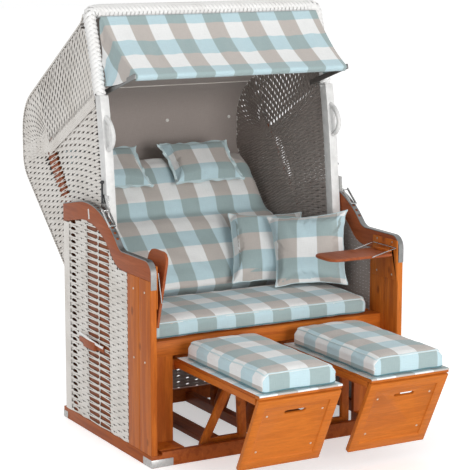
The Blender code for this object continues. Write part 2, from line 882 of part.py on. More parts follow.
def hood_sides():
    """Wicker walls with their bands, and the linings with the wood slat behind the slots."""
    outline = placed(hood_side_outline())
    centre = (front + pivot_y, pivot_z)
    bore = arc(centre, pivot_radius + pivot_play, 0, 345, 23)
    skin = hood_half - hood_weave_thick
    board = skin - gap
    face = board - cheek_board_thick - hood_lining_thick
    turn = math.radians(slat_line_angle)
    along = Vector((math.cos(turn), math.sin(turn))) * slat_reach
    across = Vector((-math.sin(turn), math.cos(turn))) * slat_half
    far = Vector(centre) + along
    slat = arc(centre, slat_half, slat_line_angle + 90, slat_line_angle + 270, 8)
    slat += [tuple(far - across), tuple(far + across)]
    for name, s in SIDES:
        bm = bmesh.new()
        add_prism(bm, outline, s * skin, s * hood_half)
        wall = finish(bm, f"hood_wall_{name}", "wicker_white")
        join(wall, hood_band(s), f"hood_band_{name}")
        holes = bmesh.new()
        wall_slots(holes, s, skin)
        add_prism(holes, bore, s * (skin - overrun / 4), s * (hood_half + overrun / 4))
        cut(wall, holes, f"cut_hood_wall_{name}")
        bm = bmesh.new()
        add_prism(bm, outline, s * face, s * (face + hood_lining_thick))
        inside = finish(bm, f"hood_lining_{name}", "wicker_taupe")
        timber = bmesh.new()
        add_prism(timber, slat, s * (face + hood_lining_thick / 2), s * board)
        join(inside, timber, f"hood_slat_{name}")
        holes = bmesh.new()
        add_prism(holes, bore, s * (face - overrun / 4), s * (board + overrun / 4))
        cut(inside, holes, f"cut_hood_lining_{name}")


def hood_band(s):
    """The smooth wrapped band that runs slantwise over a hood wall."""
    a = Vector(placed([band_start])[0])
    b = Vector(placed([band_end])[0])
    along = (b - a).normalized()
    side = Vector((along.y, -along.x)) * band_width
    if side.y > 0:
        side = -side
    bm = bmesh.new()
    shape = (tuple(a), tuple(b), tuple(b + side), tuple(a + side))
    add_prism(bm, shape, s * (hood_half - hood_weave_thick / 2), s * (hood_half + band_proud))
    return bm


def wall_slots(holes, s, skin):
    """The slanted column of open slots low at the rear of a hood wall."""
    lean = math.radians(slot_lean)
    down = Vector((-math.sin(lean), -math.cos(lean)))
    turn = math.radians(slot_turn)
    along = Vector((math.cos(turn), math.sin(turn)))
    across = Vector((-along.y, along.x))
    first = Vector(placed([slot_start])[0])
    for k in range(slot_count):
        share = k / (slot_count - 1)
        length = slot_length_first + (slot_length_last - slot_length_first) * share
        centre = first + down * slot_pitch * k
        shape = []
        tip = slot_height / 2
        for a, b in ((-1, 0), (-1, 1), (1, 1), (1, 0), (1, -1), (-1, -1)):
            run = length / 2 - (tip if b else 0)
            shape.append(tuple(centre + along * a * run + across * b * tip))
        add_prism(holes, shape, s * (skin - overrun / 4), s * (hood_half + overrun / 4))


def hood_shell():
    """Wicker roof and back in one bent sheet, with its lining."""
    start = arch_outline[4][0] + gap
    path = shell_path()
    bm = bmesh.new()
    outside = trimmed(path, start)
    inside = trimmed(offset(path, -shell_thick), start)
    add_strip(bm, placed(outside), placed(inside), -hood_half, hood_half)
    finish(bm, "hood_shell", "wicker_white", smooth=35)
    top = trimmed(offset(path, -(shell_thick + gap)), start)
    bottom = trimmed(offset(path, -(shell_thick + gap + hood_lining_thick)), start)
    reach = hood_half - hood_weave_thick - cheek_board_thick - hood_lining_thick - 3 * gap
    bm = bmesh.new()
    add_strip(bm, placed(top), placed(bottom), -reach, reach)
    finish(bm, "hood_shell_lining", "wicker_taupe", smooth=35)


def hood_frame():
    """White posts with pull handles, joined by the arch over the opening."""
    edge = post_edge()
    rear = raised(offset(edge, -post_depth), edge[-1][1])
    bm = bmesh.new()
    add_prism(bm, placed(arch_outline), -hood_half, hood_half)
    for _, s in SIDES:
        pull_handle(bm, s)
    frame = finish(bm, "hood_frame", "white", smooth=50)
    posts = bmesh.new()
    for _, s in SIDES:
        x0 = s * (hood_half - post_width)
        x1 = s * (hood_half - gap)
        add_strip(posts, placed(edge), placed(rear), x0, x1)
    join(frame, posts, "hood_posts")


def edge_at(z):
    """Depth of the posts' front edge at a height."""
    for (y0, z0), (y1, z1) in zip(post_line, post_line[1:]):
        if z0 <= z <= z1:
            return y0 + (y1 - y0) * (z - z0) / (z1 - z0)
    return post_line[-1][0]


def pull_handle(bm, s):
    """A bowed grab handle on the front of a post."""
    x = s * (hood_half - post_width / 2)
    points = []
    steps = 8
    start = edge_at(handle_low)
    end = edge_at(handle_high)
    for k in range(steps + 1):
        share = k / steps
        bow = math.sin(math.pi * share) ** 0.6
        y = start + (end - start) * share - handle_reach * bow + handle_radius
        z = handle_low + (handle_high - handle_low) * share
        points.append((x, front + y, z))
    add_wire(bm, points, handle_radius, 8)


def bail_points(s):
    """Hinge and foot of a lock bail, in the part's frame."""
    hinge = polar(bail_hinge_angle, arm_radius + gap + rail_thick + bail_hinge_lift)
    foot = polar(bail_foot_angle, arm_radius + 2 * gap + rail_thick + bail_strip / 2)
    x = s * (inner + half) / 2
    return Vector((x, front + hinge[0], hinge[1])), Vector((x, front + foot[0], foot[1]))


def locks():
    """Bracket on each post foot, the bail on it and the black pull rod."""
    for name, s in SIDES:
        hinge, foot = bail_points(s)
        x_in = s * (hood_half + gap)
        x_out = hinge.x + s * (bail_width / 2 + gap + rail_thick)
        reach = bail_eye * 1.6
        rear = front + edge_at(pull_rod_high) + post_depth - gap
        high = pull_rod_low + bail_strip * 4
        bm = bmesh.new()
        shape = ((hinge.y - reach, hinge.z - reach), (rear, hinge.z - reach), (rear, high), (hinge.y + reach, high))
        add_prism(bm, shape, x_in, x_in + s * rail_thick)
        bracket = finish(bm, f"lock_bracket_{name}", "chrome")
        rod = bmesh.new()
        add_cylinder(rod, (x_in + s * rail_thick / 2, hinge.y, hinge.z), (x_out, hinge.y, hinge.z), bail_eye - bail_play, 12)
        join(bracket, rod, f"lock_hinge_{name}")
        pull_rod(name, s)
        lock_bail(name, hinge, foot)


def pull_rod(name, s):
    """A thin black rod with a ball on top, beside the post's foot."""
    length = pull_rod_high - pull_rod_low
    ball = pull_ball_radius
    profile = [(0, pull_rod_radius), (length, pull_rod_radius)]
    steps = 6
    first = math.asin(pull_rod_radius / ball)
    centre = length + ball * math.cos(first)
    for k in range(1, steps):
        turn = first + (math.pi - first) * k / steps
        profile.append((centre - ball * math.cos(turn), ball * math.sin(turn)))
    bm = bmesh.new()
    add_turned(bm, rod_place(s), (0, 0, 1), profile, 12)
    finish(bm, f"pull_rod_{name}", "black", smooth=60)


def hang(joint, point, pieces, carrier=None):
    """Hang pieces and their hidden shapes on an empty at a joint, where they are."""
    place = Vector(point)
    empty = bpy.data.objects.new(joint, None)
    empty.empty_display_size = wall_thick
    empty.location = place
    bpy.context.scene.collection.objects.link(empty)
    if carrier:
        empty.parent = bpy.data.objects[carrier]
        empty.location = place - empty.parent.location
    for piece in pieces:
        made = bpy.data.objects[piece]
        hidden = [tool.object for tool in made.modifiers if tool.type == "BOOLEAN"]
        for thing in (made, *hidden):
            thing.parent = empty
            thing.location = -place


def moving_pieces():
    """Hang every moving piece on its joint: the hood's, then what the hood carries, then the base's."""
    on_hood = ["hood_shell", "hood_shell_lining", "hood_frame", "back_cushion", "awning_cloth"]
    for name, _ in SIDES:
        on_hood += [f"{piece}_{name}" for piece in ("hood_wall", "hood_lining", "lock_bracket", "head_pillow")]
    hang("hood_tilt", (0, front + pivot_y, pivot_z), on_hood)
    hang("awning_swing", (0, *placed([awning_pivot])[0]), ["awning_frame"], "hood_tilt")
    for name, s in SIDES:
        hang(f"bail_lift_{name}", bail_points(s)[0], [f"lock_bail_{name}"], "hood_tilt")
        hang(f"rod_pull_{name}", rod_place(s), [f"pull_rod_{name}"], "hood_tilt")
        pivot, tip = table_joints(s, name == "left")
        hang(f"table_fold_{name}", pivot, [f"table_wire_{name}"])
        hang(f"table_turn_{name}", tip, [f"table_board_{name}"], f"table_fold_{name}")
        slider = [f"footrest_{piece}_{name}" for piece in ("frame", "deck", "panel", "leg")]
        place = (s * footrest_x, front, footrest_rail_low)
        hang(f"footrest_slide_{name}", place, slider + [f"foot_cushion_{name}"])


def lock_bail(name, hinge, foot):
    """A flat stirrup from the hinge rod down to the rail."""
    along = (foot - hinge).normalized()
    across = Vector((0, -along.z, along.y))
    wide = bail_width / 2
    inside = wide - bail_bar
    length = (foot - hinge).length
    end = length - bail_bar
    start = -bail_eye - bail_bar
    shape = (
        (-wide, start), (-inside, start), (-inside, end), (inside, end),
        (inside, start), (wide, start), (wide, length), (-wide, length),
    )
    rings = []
    for d in (-1, 1):
        lift = across * d * bail_strip / 2
        rings.append([hinge + Vector((u, 0, 0)) + along * t + lift for u, t in shape])
    bm = bmesh.new()
    add_loft(bm, rings)
    bail = finish(bm, f"lock_bail_{name}", "chrome")
    eye = bmesh.new()
    hole = arc((hinge.y, hinge.z), bail_eye, 0, 330, 11)
    add_prism(eye, hole, hinge.x - wide - overrun, hinge.x + wide + overrun)
    cut(bail, eye, f"cut_bail_{name}")


def awning():
    """Swing frame of flat arms and a bar, and the cloth between it and the arch."""
    pivot = Vector(placed([awning_pivot])[0])
    bar = Vector(placed([awning_bar_place])[0])
    along = (bar - pivot).normalized()
    side = Vector((-along.y, along.x)) * awning_arm_width / 2
    hood_in = hood_half - post_width
    pin = awning_half + awning_arm_thick / 2
    bm = bmesh.new()
    add_cylinder(bm, (-pin, bar.x, bar.y), (pin, bar.x, bar.y), awning_tube, 12)
    for _, s in SIDES:
        add_cylinder(bm, (s * pin, pivot.x, pivot.y), (s * (hood_in - gap), pivot.x, pivot.y), awning_tube / 1.5, 12)
    frame = finish(bm, "awning_frame", "white", smooth=40)
    arms_bm = bmesh.new()
    for _, s in SIDES:
        a = pivot - along * awning_arm_width / 2
        b = bar + along * awning_tube * 1.3
        shape = (tuple(a - side), tuple(b - side), tuple(b + side), tuple(a + side))
        add_prism(arms_bm, shape, s * awning_half, s * (awning_half + awning_arm_thick))
    join(frame, arms_bm, "awning_arms")
    awning_cloth(bar)


def awning_cloth(bar):
    """A taut sheet in shallow swags, closed by a gusset at each end."""
    top = Vector(placed([awning_top])[0])
    corner = Vector(placed([awning_corner])[0])
    run = bar - top
    along = run.normalized()
    out = Vector((along.y, -along.x))
    if out.y < 0:
        out = -out
    lift = awning_tube + gap
    thick = awning_cloth_thick
    rows = 4
    shares = [j / rows for j in range(rows + 1)]
    line = [top + run * v + out * (lift - awning_sag * v * (1 - v)) for v in shares]
    hem = bar + along * (lift + thick) - out * awning_tube
    upper = [p + out * thick for p in line] + [bar + (out + along) * (lift + thick), hem]
    under = line + [bar + (out + along) * lift, hem - along * thick]
    section = upper + under[::-1]
    narrow = awning_half - 3 * gap

    def reach(point):
        share = (point - top).dot(along) / (corner - top).dot(along)
        return awning_top_half + (narrow - awning_top_half) * share

    steps = 4
    columns = awning_folds * steps
    inside = reach(section[len(upper) - 1]) - 2 * thick
    bm = bmesh.new()
    rings = [[Vector((thick / 2 - reach(p), p.x, p.y)) for p in section]]
    for k in range(columns + 1):
        part = k % steps / steps
        swag = out * 4 * awning_swag * part * (1 - part)
        x = inside * (2 * k / columns - 1)
        rings.append([Vector((x, *(p + swag))) for p in section])
    rings.append([Vector((reach(p) - thick / 2, p.x, p.y)) for p in section])
    add_loft(bm, rings)
    cloth = finish(bm, "awning_cloth", "check", smooth=40)
    near = top + along * thick / 2 - out * thick
    bow = out * thick
    low = bar - along * 2 * lift + out * lift
    start = line[0] + (along + out) * thick / 2
    gusset = [start] + [p + out * thick / 2 for p in line[1:-1]] + [low + out * thick / 4, low]
    gusset += [corner + (low - corner) / 2 + bow, corner, near + (corner - near) / 2 + bow, near]
    for name, s in SIDES:
        bm = bmesh.new()
        rings = [[Vector((s * (reach(p) - inset), p.x, p.y)) for p in gusset] for inset in (0, thick)]
        add_loft(bm, rings)
        join(cloth, bm, f"awning_gusset_{name}")


def footrests():
    """Both pull-out footrests."""
    low_end = Vector(panel_low)
    high_end = Vector(panel_high)
    share = (footrest_rail_low - low_end.y) / (high_end.y - low_end.y)
    seat_line = low_end.x + (high_end.x - low_end.x) * share + 1.2 * gap
    for name, s in SIDES:
        x = s * footrest_x
        y0 = front + seat_line
        y1 = front + footrest_rear
        w = footrest_half
        v = footrest_half - footrest_rail_thick
        yc = y1 - footrest_rail_thick
        shape = ((x - w, y0), (x - v, y0), (x - v, yc), (x + v, yc), (x + v, y0), (x + w, y0), (x + w, y1), (x - w, y1))
        bm = bmesh.new()
        add_prism(bm, shape, footrest_rail_low, footrest_rail_high, "Z")
        finish(bm, f"footrest_frame_{name}", "wood")
        bm = bmesh.new()
        low = footrest_rail_high + gap
        add_box(bm, (x - w, y0, low), (x + w, front + deck_rear, low + deck_thick))
        finish(bm, f"footrest_deck_{name}", "deck", bevel=deck_thick / 6)
        footrest_panel(name, x)
        footrest_leg(name, x)


def footrest_panel(name, x):
    """The leaning front panel: raised frame, sunk field and a hand slot."""
    low = Vector(placed([panel_low])[0])
    high = Vector(placed([panel_high])[0])
    up = (high - low).normalized()
    out = Vector((-up.y, up.x))
    tall = (high - low).length
    w = footrest_half

    def place(u, v, d):
        point = low + up * v + out * d
        return Vector((x + u, point.x, point.y))

    bm = bmesh.new()
    f = panel_frame_width
    drop = panel_frame_thick - panel_field_drop
    levels = [
        (w, 0, tall, 0), (w, 0, tall, panel_frame_thick),
        (w - f, f, tall - f, panel_frame_thick), (w - f - 0.002, f + 0.002, tall - f - 0.002, drop),
    ]
    rings = []
    for reach, v0, v1, d in levels:
        rings.append([place(-reach, v0, d), place(reach, v0, d), place(reach, v1, d), place(-reach, v1, d)])
    add_loft(bm, rings)
    panel = finish(bm, f"footrest_panel_{name}", "panel_wood")
    slot = bmesh.new()
    r = hand_slot_height / 2
    run = hand_slot_length / 2 - r
    v = tall - hand_slot_down
    shape = arc((run, v), r, -90, 90, 6) + arc((-run, v), r, 90, 270, 6)
    ring_in = [place(u, w_, -overrun) for u, w_ in shape]
    ring_out = [place(u, w_, panel_frame_thick + overrun) for u, w_ in shape]
    add_loft(slot, [ring_in, ring_out])
    cut(panel, slot, f"cut_panel_{name}")


def footrest_leg(name, x):
    """The leaning A-shaped leg that slides on the floor runner."""
    low = runner_top + gap
    top = footrest_rail_high - gap * 0
    tilt = math.tan(math.radians(leg_lean))

    def sheared(points, spread):
        rings = []
        for side in (-1, 1):
            ring = []
            for u, z in points:
                y = front + leg_foot_y - (z - low) * tilt + side * spread
                ring.append(Vector((x + u, y, z)))
            rings.append(ring)
        return rings

    bm = bmesh.new()
    high = footrest_rail_high - gap
    outline = ((-leg_half, low), (leg_half, low), (leg_half, low + leg_bar / 2), (leg_apex_half, high), (-leg_apex_half, high), (-leg_half, low + leg_bar / 2))
    add_loft(bm, sheared(outline, leg_thick / 2))
    leg = finish(bm, f"footrest_leg_{name}", "wood")
    hole = bmesh.new()
    slope = (leg_half - leg_apex_half) / (high - low - leg_bar / 2)
    side = leg_bar * math.sqrt(1 + slope * slope)
    base = leg_half - side - slope * leg_bar / 2
    peak = low + leg_bar + base / slope
    add_loft(hole, sheared(((-base, low + leg_bar), (base, low + leg_bar), (0, peak)), leg_thick / 2 + overrun))
    cut(leg, hole, f"cut_leg_{name}")


def rounded_table(u0, u1):
    """Plan outline of a table board, its free end with big round corners."""
    r = table_corner
    y0 = front + table_front
    y1 = y0 + table_width
    d = 1 if u1 > u0 else -1
    near = [(u1 - d * r + d * r * math.cos(t), y0 + r - r * math.sin(t)) for t in (math.pi / 2, math.pi / 3, math.pi / 6, 0)]
    far = [(u1 - d * r + d * r * math.cos(t), y1 - r + r * math.sin(t)) for t in (0, math.pi / 6, math.pi / 3, math.pi / 2)]
    return [(u0, y0)] + near + far + [(u0, y1)]


def tables():
    """Wall plates with clips, bent wires and boards; the left one is parked."""
    reach = inner - gap
    face = reach - table_plate_thick
    y0 = front + table_front
    wire_low = y0 - gap - wire_radius
    wire_high = y0 + table_width + gap + wire_radius
    inset = table_width / 5
    for name, s in SIDES:
        parked = name == "left"
        pivot, tip = table_joints(s, parked)
        bm = bmesh.new()
        low = (s * face, front + gap, table_plate_low)
        add_box(bm, low, (s * reach, front + gap + table_plate_depth, table_plate_high))
        plate = finish(bm, f"table_bracket_{name}", "wood")
        fittings = bmesh.new()
        stop = table_joints(s, False)[1].z + table_thick / 2 + gap
        sunk = s * (face + table_plate_thick / 2)
        low = (sunk, y0 + inset, stop)
        add_box(fittings, low, (s * (face - batten_reach), y0 + table_width - inset, stop + batten_thick))
        clip_end = s * (abs(pivot.x) - wire_radius)
        for y in (y0 + inset, y0 + table_width - inset):
            for d in (-1, 1):
                z0 = pivot.z + d * (wire_radius + gap)
                z1 = z0 + d * clip_thick
                add_box(fittings, (sunk, y - clip_length / 2, z0), (clip_end, y + clip_length / 2, z1))
        join(plate, fittings, f"table_fittings_{name}")
        table_wire(name, pivot, tip, wire_low, wire_high)
        table_board(name, s, tip, parked)


def table_wire(name, pivot, tip, low, high):
    """One bent wire: two arms, the bar in the clips and a pin at each tip."""
    bm = bmesh.new()
    bar = [(pivot.x, low, pivot.z), (pivot.x, high, pivot.z)]
    start = [(tip.x, low + wire_pin, tip.z), (tip.x, low, tip.z)]
    end = [(tip.x, high, tip.z), (tip.x, high - wire_pin, tip.z)]
    add_wire(bm, start + bar + end, wire_radius, 8)
    finish(bm, f"table_wire_{name}", "chrome", smooth=60)


def rod_place(s):
    """The foot of a pull rod, on its axis."""
    x = s * (hood_half + rail_thick + 2 * gap + pull_rod_radius)
    return Vector((x, front + edge_at(pull_rod_high) + post_depth / 2, pull_rod_low))


def table_board(name, s, tip, parked):
    """The table board with a blind hole in each long edge for the wire's pins."""
    u0 = s * board_inner_run
    u1 = -s * (table_length - board_inner_run)
    outline = rounded_table(u0, u1)
    turn = math.radians(board_park_angle if parked else 0)
    c, si = math.cos(turn), math.sin(turn)

    def place(u, y, w):
        along = u * s
        return Vector((tip.x + s * (along * c + w * si), y, tip.z - along * si + w * c))

    bm = bmesh.new()
    rings = []
    for w in (-table_thick / 2, table_thick / 2):
        rings.append([place(u, y, w) for u, y in outline])
    add_loft(bm, rings)
    board = finish(bm, f"table_board_{name}", "table_wood", bevel=0.0015)
    y0 = front + table_front
    y1 = y0 + table_width
    holes = bmesh.new()
    for y, d in ((y0, 1), (y1, -1)):
        add_cylinder(holes, (tip.x, y - d * overrun, tip.z), (tip.x, y + d * (wire_pin + gap), tip.z), wire_radius + 0.0005, 12)
    cut(board, holes, f"cut_table_{name}")


def side_handles():
    """Carrying grips: a wood bar on a flat strap at each side."""
    y, z = placed([grip_place])[0]
    for name, s in SIDES:
        x = s * (half + gap)
        low = (x, y - strap_length / 2, z - strap_width / 2)
        bm = bmesh.new()
        add_box(bm, low, (x + s * strap_thick, y + strap_length / 2, z + strap_width / 2))
        handle = finish(bm, f"side_handle_{name}", "wood")
        bar = bmesh.new()
        sunk = x + s * strap_thick / 2
        add_box(bar, (sunk, y - grip_length / 2, z - grip_height / 2), (x + s * grip_thick, y + grip_length / 2, z + grip_height / 2))
        join(handle, bar, f"side_grip_{name}")


def add_pad(bm, frame, stations, ring):
    """Loft a cushion: frame maps local (u, v, w); each station gives u and the ring's scales."""
    rings = []
    for u, sv, sw in stations:
        rings.append([frame(u, v * sv, w * sw) for v, w in ring])
    add_loft(bm, rings)


def box_ring(half_v, low, high, pinch):
    """A soft rectangle: drawn-in sides and a crowned top, flat below."""
    tall = high - low
    r = min(tall, half_v) * pad_round_share
    crown = tall * pad_crown_share
    points = []
    for i in range(5):
        v = half_v - r - (2 * (half_v - r)) * i / 4
        points.append((v, high + crown * (1 - (v / half_v) ** 2)))
    points.append((-half_v, high - r))
    points.append((-half_v + pinch, (low + high) / 2))
    points.append((-half_v, low + r / 2))
    points.append((-half_v + r / 2, low))
    points.append((half_v - r / 2, low))
    points.append((half_v, low + r / 2))
    points.append((half_v - pinch, (low + high) / 2))
    points.append((half_v, high - r))
    return points


def pillow(name, size, frame):
    """A knife-edged pillow: crowned both sides, its edges drawn in between the corners."""
    wide, tall, thick = size
    count = 8
    bm = bmesh.new()
    faces = {}
    for side in (-1, 1):
        for i in range(count + 1):
            for j in range(count + 1):
                u = -1 + 2 * i / count
                v = -1 + 2 * j / count
                pull_u = 1 - pillow_draw_share * (1 - v * v)
                pull_v = 1 - pillow_draw_share * (1 - u * u)
                rise = ((1 - u ** 4) * (1 - v ** 4)) ** pillow_swell
                w = side * (pillow_edge + (thick - pillow_edge) * rise) / 2
                faces[side, i, j] = bm.verts.new(frame(u * pull_u * wide / 2, v * pull_v * tall / 2, w))
    for i in range(count):
        for j in range(count):
            for side in (-1, 1):
                quad = [faces[side, i, j], faces[side, i + 1, j], faces[side, i + 1, j + 1], faces[side, i, j + 1]]
                bm.faces.new(quad if side > 0 else quad[::-1])
    rim = [(i, 0) for i in range(count)] + [(count, j) for j in range(count)]
    rim += [(count - i, count) for i in range(count)] + [(0, count - j) for j in range(count)]
    for a, b in zip(rim, rim[1:] + rim[:1]):
        bm.faces.new((faces[-1, a[0], a[1]], faces[-1, b[0], b[1]], faces[1, b[0], b[1]], faces[1, a[0], a[1]]))
    finish(bm, name, "check", smooth=50)


def seat_cushions():
    """The seat cushion, wall to wall, with a full front edge."""
    low = seat_rail_high + slat_thick + gap
    y0 = front + seat_cushion_front
    y1 = front + seat_cushion_rear
    mid = (y0 + y1) / 2
    ring = box_ring((y1 - y0) / 2, 0, seat_cushion_thick, pad_pinch)
    stations = []
    for share, sv, sw in zip(pad_end_shares, pad_width_shares, pad_height_shares):
        stations.append((-seat_cushion_half * (1 - (1 - share) / 2), sv, sw))
    stations += [(-u, sv, sw) for u, sv, sw in stations[-2::-1]]
    bm = bmesh.new()
    add_pad(bm, lambda u, v, w: Vector((u, mid + v, low + w)), stations, ring)
    finish(bm, "seat_cushion", "check", smooth=50)


def back_cushion():
    """Back cushion in two swells with a sewn channel between, against the shell's lining."""
    foot = Vector(shell_foot)
    lean = math.radians(back_lean)
    up = Vector((math.sin(lean), math.cos(lean)))
    out = Vector((-up.y, up.x))
    start = back_start
    channel = start + back_low_run
    top = channel + back_high_run
    back = shell_thick + hood_lining_thick + 3 * gap
    low = back_front_low
    high = back_front_high
    path = [
        (start + 0.012, back), (start, back + low * 0.3), (start, back + low * 0.75), (start + 0.012, back + low * 0.95),
        (start + 0.06, back + low), (start + 0.20, back + low + 0.006),
        (channel - 0.06, back + low + 0.002), (channel - 0.014, back + low - 0.010),
        (channel, back + low - 0.032), (channel + 0.012, back + low - 0.008),
        (channel + 0.06, back + low + 0.016), (channel + 0.16, back + high - 0.002), (top - 0.08, back + high),
        (top - 0.02, back + high - 0.014), (top, back + high - 0.045),
        (top - 0.012, back + 0.034), (channel + 0.12, back), (channel, back), (channel - 0.15, back),
    ]
    middle = (start + top) / 2

    def ring(x, squeeze, shift):
        points = []
        for run, lift in path:
            share = min(max((run - channel) / 0.02, 0), 1)
            reach = back_half_low + (back_half_high - back_half_low) * share
            pull = back + (lift - back) * squeeze
            point = foot + up * (middle + (run - middle) * shift) + out * pull
            points.append(Vector((x * reach, front + point.x, point.y)))
        return points

    stations = ((1, 0.60, 0.985), (0.985, 0.86, 0.995), (0.93, 0.97, 1), (0.5, 1.03, 1), (0, 1.04, 1))
    rings = [ring(-x, squeeze, shift) for x, squeeze, shift in stations]
    rings += [ring(x, squeeze, shift) for x, squeeze, shift in stations[-2::-1]]
    bm = bmesh.new()
    add_loft(bm, rings)
    finish(bm, "back_cushion", "check", smooth=50)


def leaning_frame(centre, turn, lean):
    """A frame for a pillow: u along its width, v up its slope, w out of its face."""
    t = math.radians(turn)
    tilt = math.radians(lean)
    wide = Vector((math.cos(t), math.sin(t), 0))
    away = Vector((-math.sin(t), math.cos(t), 0))
    up = away * math.sin(tilt) + Vector((0, 0, math.cos(tilt)))
    out = wide.cross(up)
    origin = Vector(centre)
    return lambda u, v, w: origin + wide * u + up * v + out * w


def loose_cushions():
    """Head pillows on the back cushion, throw pillows on the seat, pads on the footrests."""
    foot = Vector(shell_foot)
    lean = math.radians(back_lean)
    up = Vector((math.sin(lean), math.cos(lean)))
    out = Vector((-up.y, up.x))
    back = shell_thick + hood_lining_thick + 3 * gap
    lift = back + back_front_high + head_pillow_size[2] / 2 + head_pillow_lift
    run = back_start + back_low_run + back_high_run - head_pillow_size[1] / 2 - head_pillow_down
    centre = foot + up * run + out * lift
    for (name, _), share in zip(SIDES, head_pillow_shares):
        place = (share * hood_half, front + centre.x, centre.y)
        pillow(f"head_pillow_{name}", head_pillow_size, leaning_frame(place, 0, head_pillow_lean))
    for name, offs in throw_pillow_offs.items():
        places = zip(throw_pillow_side_shares[name], offs)
        corners = [(share * inner, front + pivot_y + y, seat_top() + z) for share, (y, z) in places]
        pillow(f"throw_pillow_{name}", throw_pillow_size, patch_frame(corners, throw_pillow_size))
    for name, s in SIDES:
        foot_cushion(name, s * footrest_x)


def foot_cushion(name, x):
    """The pad on a footrest's deck."""
    low = footrest_rail_high + deck_thick + 2 * gap
    y0 = front + foot_cushion_front
    y1 = front + foot_cushion_rear
    mid = (y0 + y1) / 2
    end = (y1 - y0) / 2
    ring = box_ring(foot_cushion_half, 0, foot_cushion_thick, pad_pinch)
    half_side = [(share, sv, sw) for share, sv, sw in zip(pad_end_shares, pad_width_shares, pad_height_shares)]
    stations = [(-end * share, sv, sw) for share, sv, sw in half_side]
    stations += [(-u, sv, sw) for u, sv, sw in stations[-2::-1]]
    bm = bmesh.new()
    add_pad(bm, lambda u, v, w: Vector((x + v, mid + u, low + w)), stations, ring)
    finish(bm, f"foot_cushion_{name}", "check", smooth=50)


def trimmed(line, depth, first=True):
    """A path whose first stretch starts at a depth, for a part that butts on an upright face."""
    a, b = (line[0], line[1]) if first else (line[-1], line[-2])
    share = (depth - b[0]) / (a[0] - b[0])
    end = (depth, b[1] + (a[1] - b[1]) * share)
    return [end] + line[1:] if first else line[:-1] + [end]


def raised(line, height):
    """A path whose last stretch runs to a height."""
    a, b = line[-1], line[-2]
    share = (height - b[1]) / (a[1] - b[1])
    return line[:-1] + [(b[0] + (a[0] - b[0]) * share, height)]


def patch_frame(corners, size):
    """A frame for a slumped pillow, whose middle surface spans four corners."""
    low_left, low_right, high_left, high_right = [Vector(c) for c in corners]

    def point(a, b):
        low = low_left.lerp(low_right, a)
        return low.lerp(high_left.lerp(high_right, a), b)

    def frame(u, v, w):
        a = u / size[0] + 0.5
        b = v / size[1] + 0.5
        across = point(1, b) - point(0, b)
        up = point(a, 1) - point(a, 0)
        return point(a, b) + across.cross(up).normalized() * w

    return frame


def seat_top():
    """Height of the seat cushion's crown."""
    crown = seat_cushion_thick * (1 + pad_crown_share)
    return seat_rail_high + slat_thick + gap + crown * max(pad_height_shares)


def table_joints(s, parked):
    """The hinge of a table's wire and the tip that carries its board, at mid width."""
    pivot_x = inner - gap - wire_pivot_off
    pivot_up = arm_flat_z - wire_pivot_down
    angle = math.radians(wire_park_angle if parked else wire_use_angle)
    y = front + table_front + table_width / 2
    pivot = Vector((s * pivot_x, y, pivot_up))
    tip = pivot + wire_length * Vector((-s * math.cos(angle), 0, -math.sin(angle)))
    return pivot, tip
def build():
    """Build every piece of the chair and hang what moves on its joints."""
    clear_scene()
    floor_frame()
    centre_truss()
    front_woodwork()
    arms()
    side_walls()
    seat()
    pivots()
    hood_sides()
    hood_shell()
    hood_frame()
    locks()
    awning()
    footrests()
    tables()
    side_handles()
    seat_cushions()
    back_cushion()
    loose_cushions()
    moving_pieces()


build()
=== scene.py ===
"""Dressed model of the hooded two-seat beach chair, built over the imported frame."""

import json
import logging
import math
from contextlib import contextmanager
from dataclasses import dataclass, field, replace
from enum import Enum
from typing import Iterator, Sequence

import bmesh
import bpy
import numpy as np
from mathutils import Matrix, Vector

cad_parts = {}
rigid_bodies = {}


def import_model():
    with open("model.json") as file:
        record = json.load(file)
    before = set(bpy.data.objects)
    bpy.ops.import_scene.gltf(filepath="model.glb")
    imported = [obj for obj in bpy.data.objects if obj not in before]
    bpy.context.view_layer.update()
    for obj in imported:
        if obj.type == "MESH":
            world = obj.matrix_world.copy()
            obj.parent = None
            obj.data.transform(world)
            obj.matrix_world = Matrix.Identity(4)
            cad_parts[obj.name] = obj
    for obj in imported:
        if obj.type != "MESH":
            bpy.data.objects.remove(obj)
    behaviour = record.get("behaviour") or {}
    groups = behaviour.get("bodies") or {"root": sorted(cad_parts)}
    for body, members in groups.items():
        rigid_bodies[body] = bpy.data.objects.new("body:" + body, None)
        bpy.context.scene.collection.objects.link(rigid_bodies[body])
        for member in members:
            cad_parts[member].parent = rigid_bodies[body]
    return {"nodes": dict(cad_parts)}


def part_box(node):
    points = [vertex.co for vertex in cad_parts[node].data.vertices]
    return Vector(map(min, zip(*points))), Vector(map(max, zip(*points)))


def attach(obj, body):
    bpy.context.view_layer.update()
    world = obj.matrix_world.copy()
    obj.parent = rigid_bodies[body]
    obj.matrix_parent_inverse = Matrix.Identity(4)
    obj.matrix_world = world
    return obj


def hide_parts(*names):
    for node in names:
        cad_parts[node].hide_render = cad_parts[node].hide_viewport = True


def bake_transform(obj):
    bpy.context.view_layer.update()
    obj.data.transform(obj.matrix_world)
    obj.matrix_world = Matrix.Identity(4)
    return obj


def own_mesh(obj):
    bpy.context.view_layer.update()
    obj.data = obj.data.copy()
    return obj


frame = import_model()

log = logging.getLogger("beach_chair")

Point = Sequence[float]
Colour = tuple[float, float, float]
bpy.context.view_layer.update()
SIDES: tuple[tuple[str, int], ...] = (("left", -1), ("right", 1))


class Axis(Enum):
    """The direction that a grain runs in."""

    X = 0
    Y = 1
    Z = 2


# Finishes


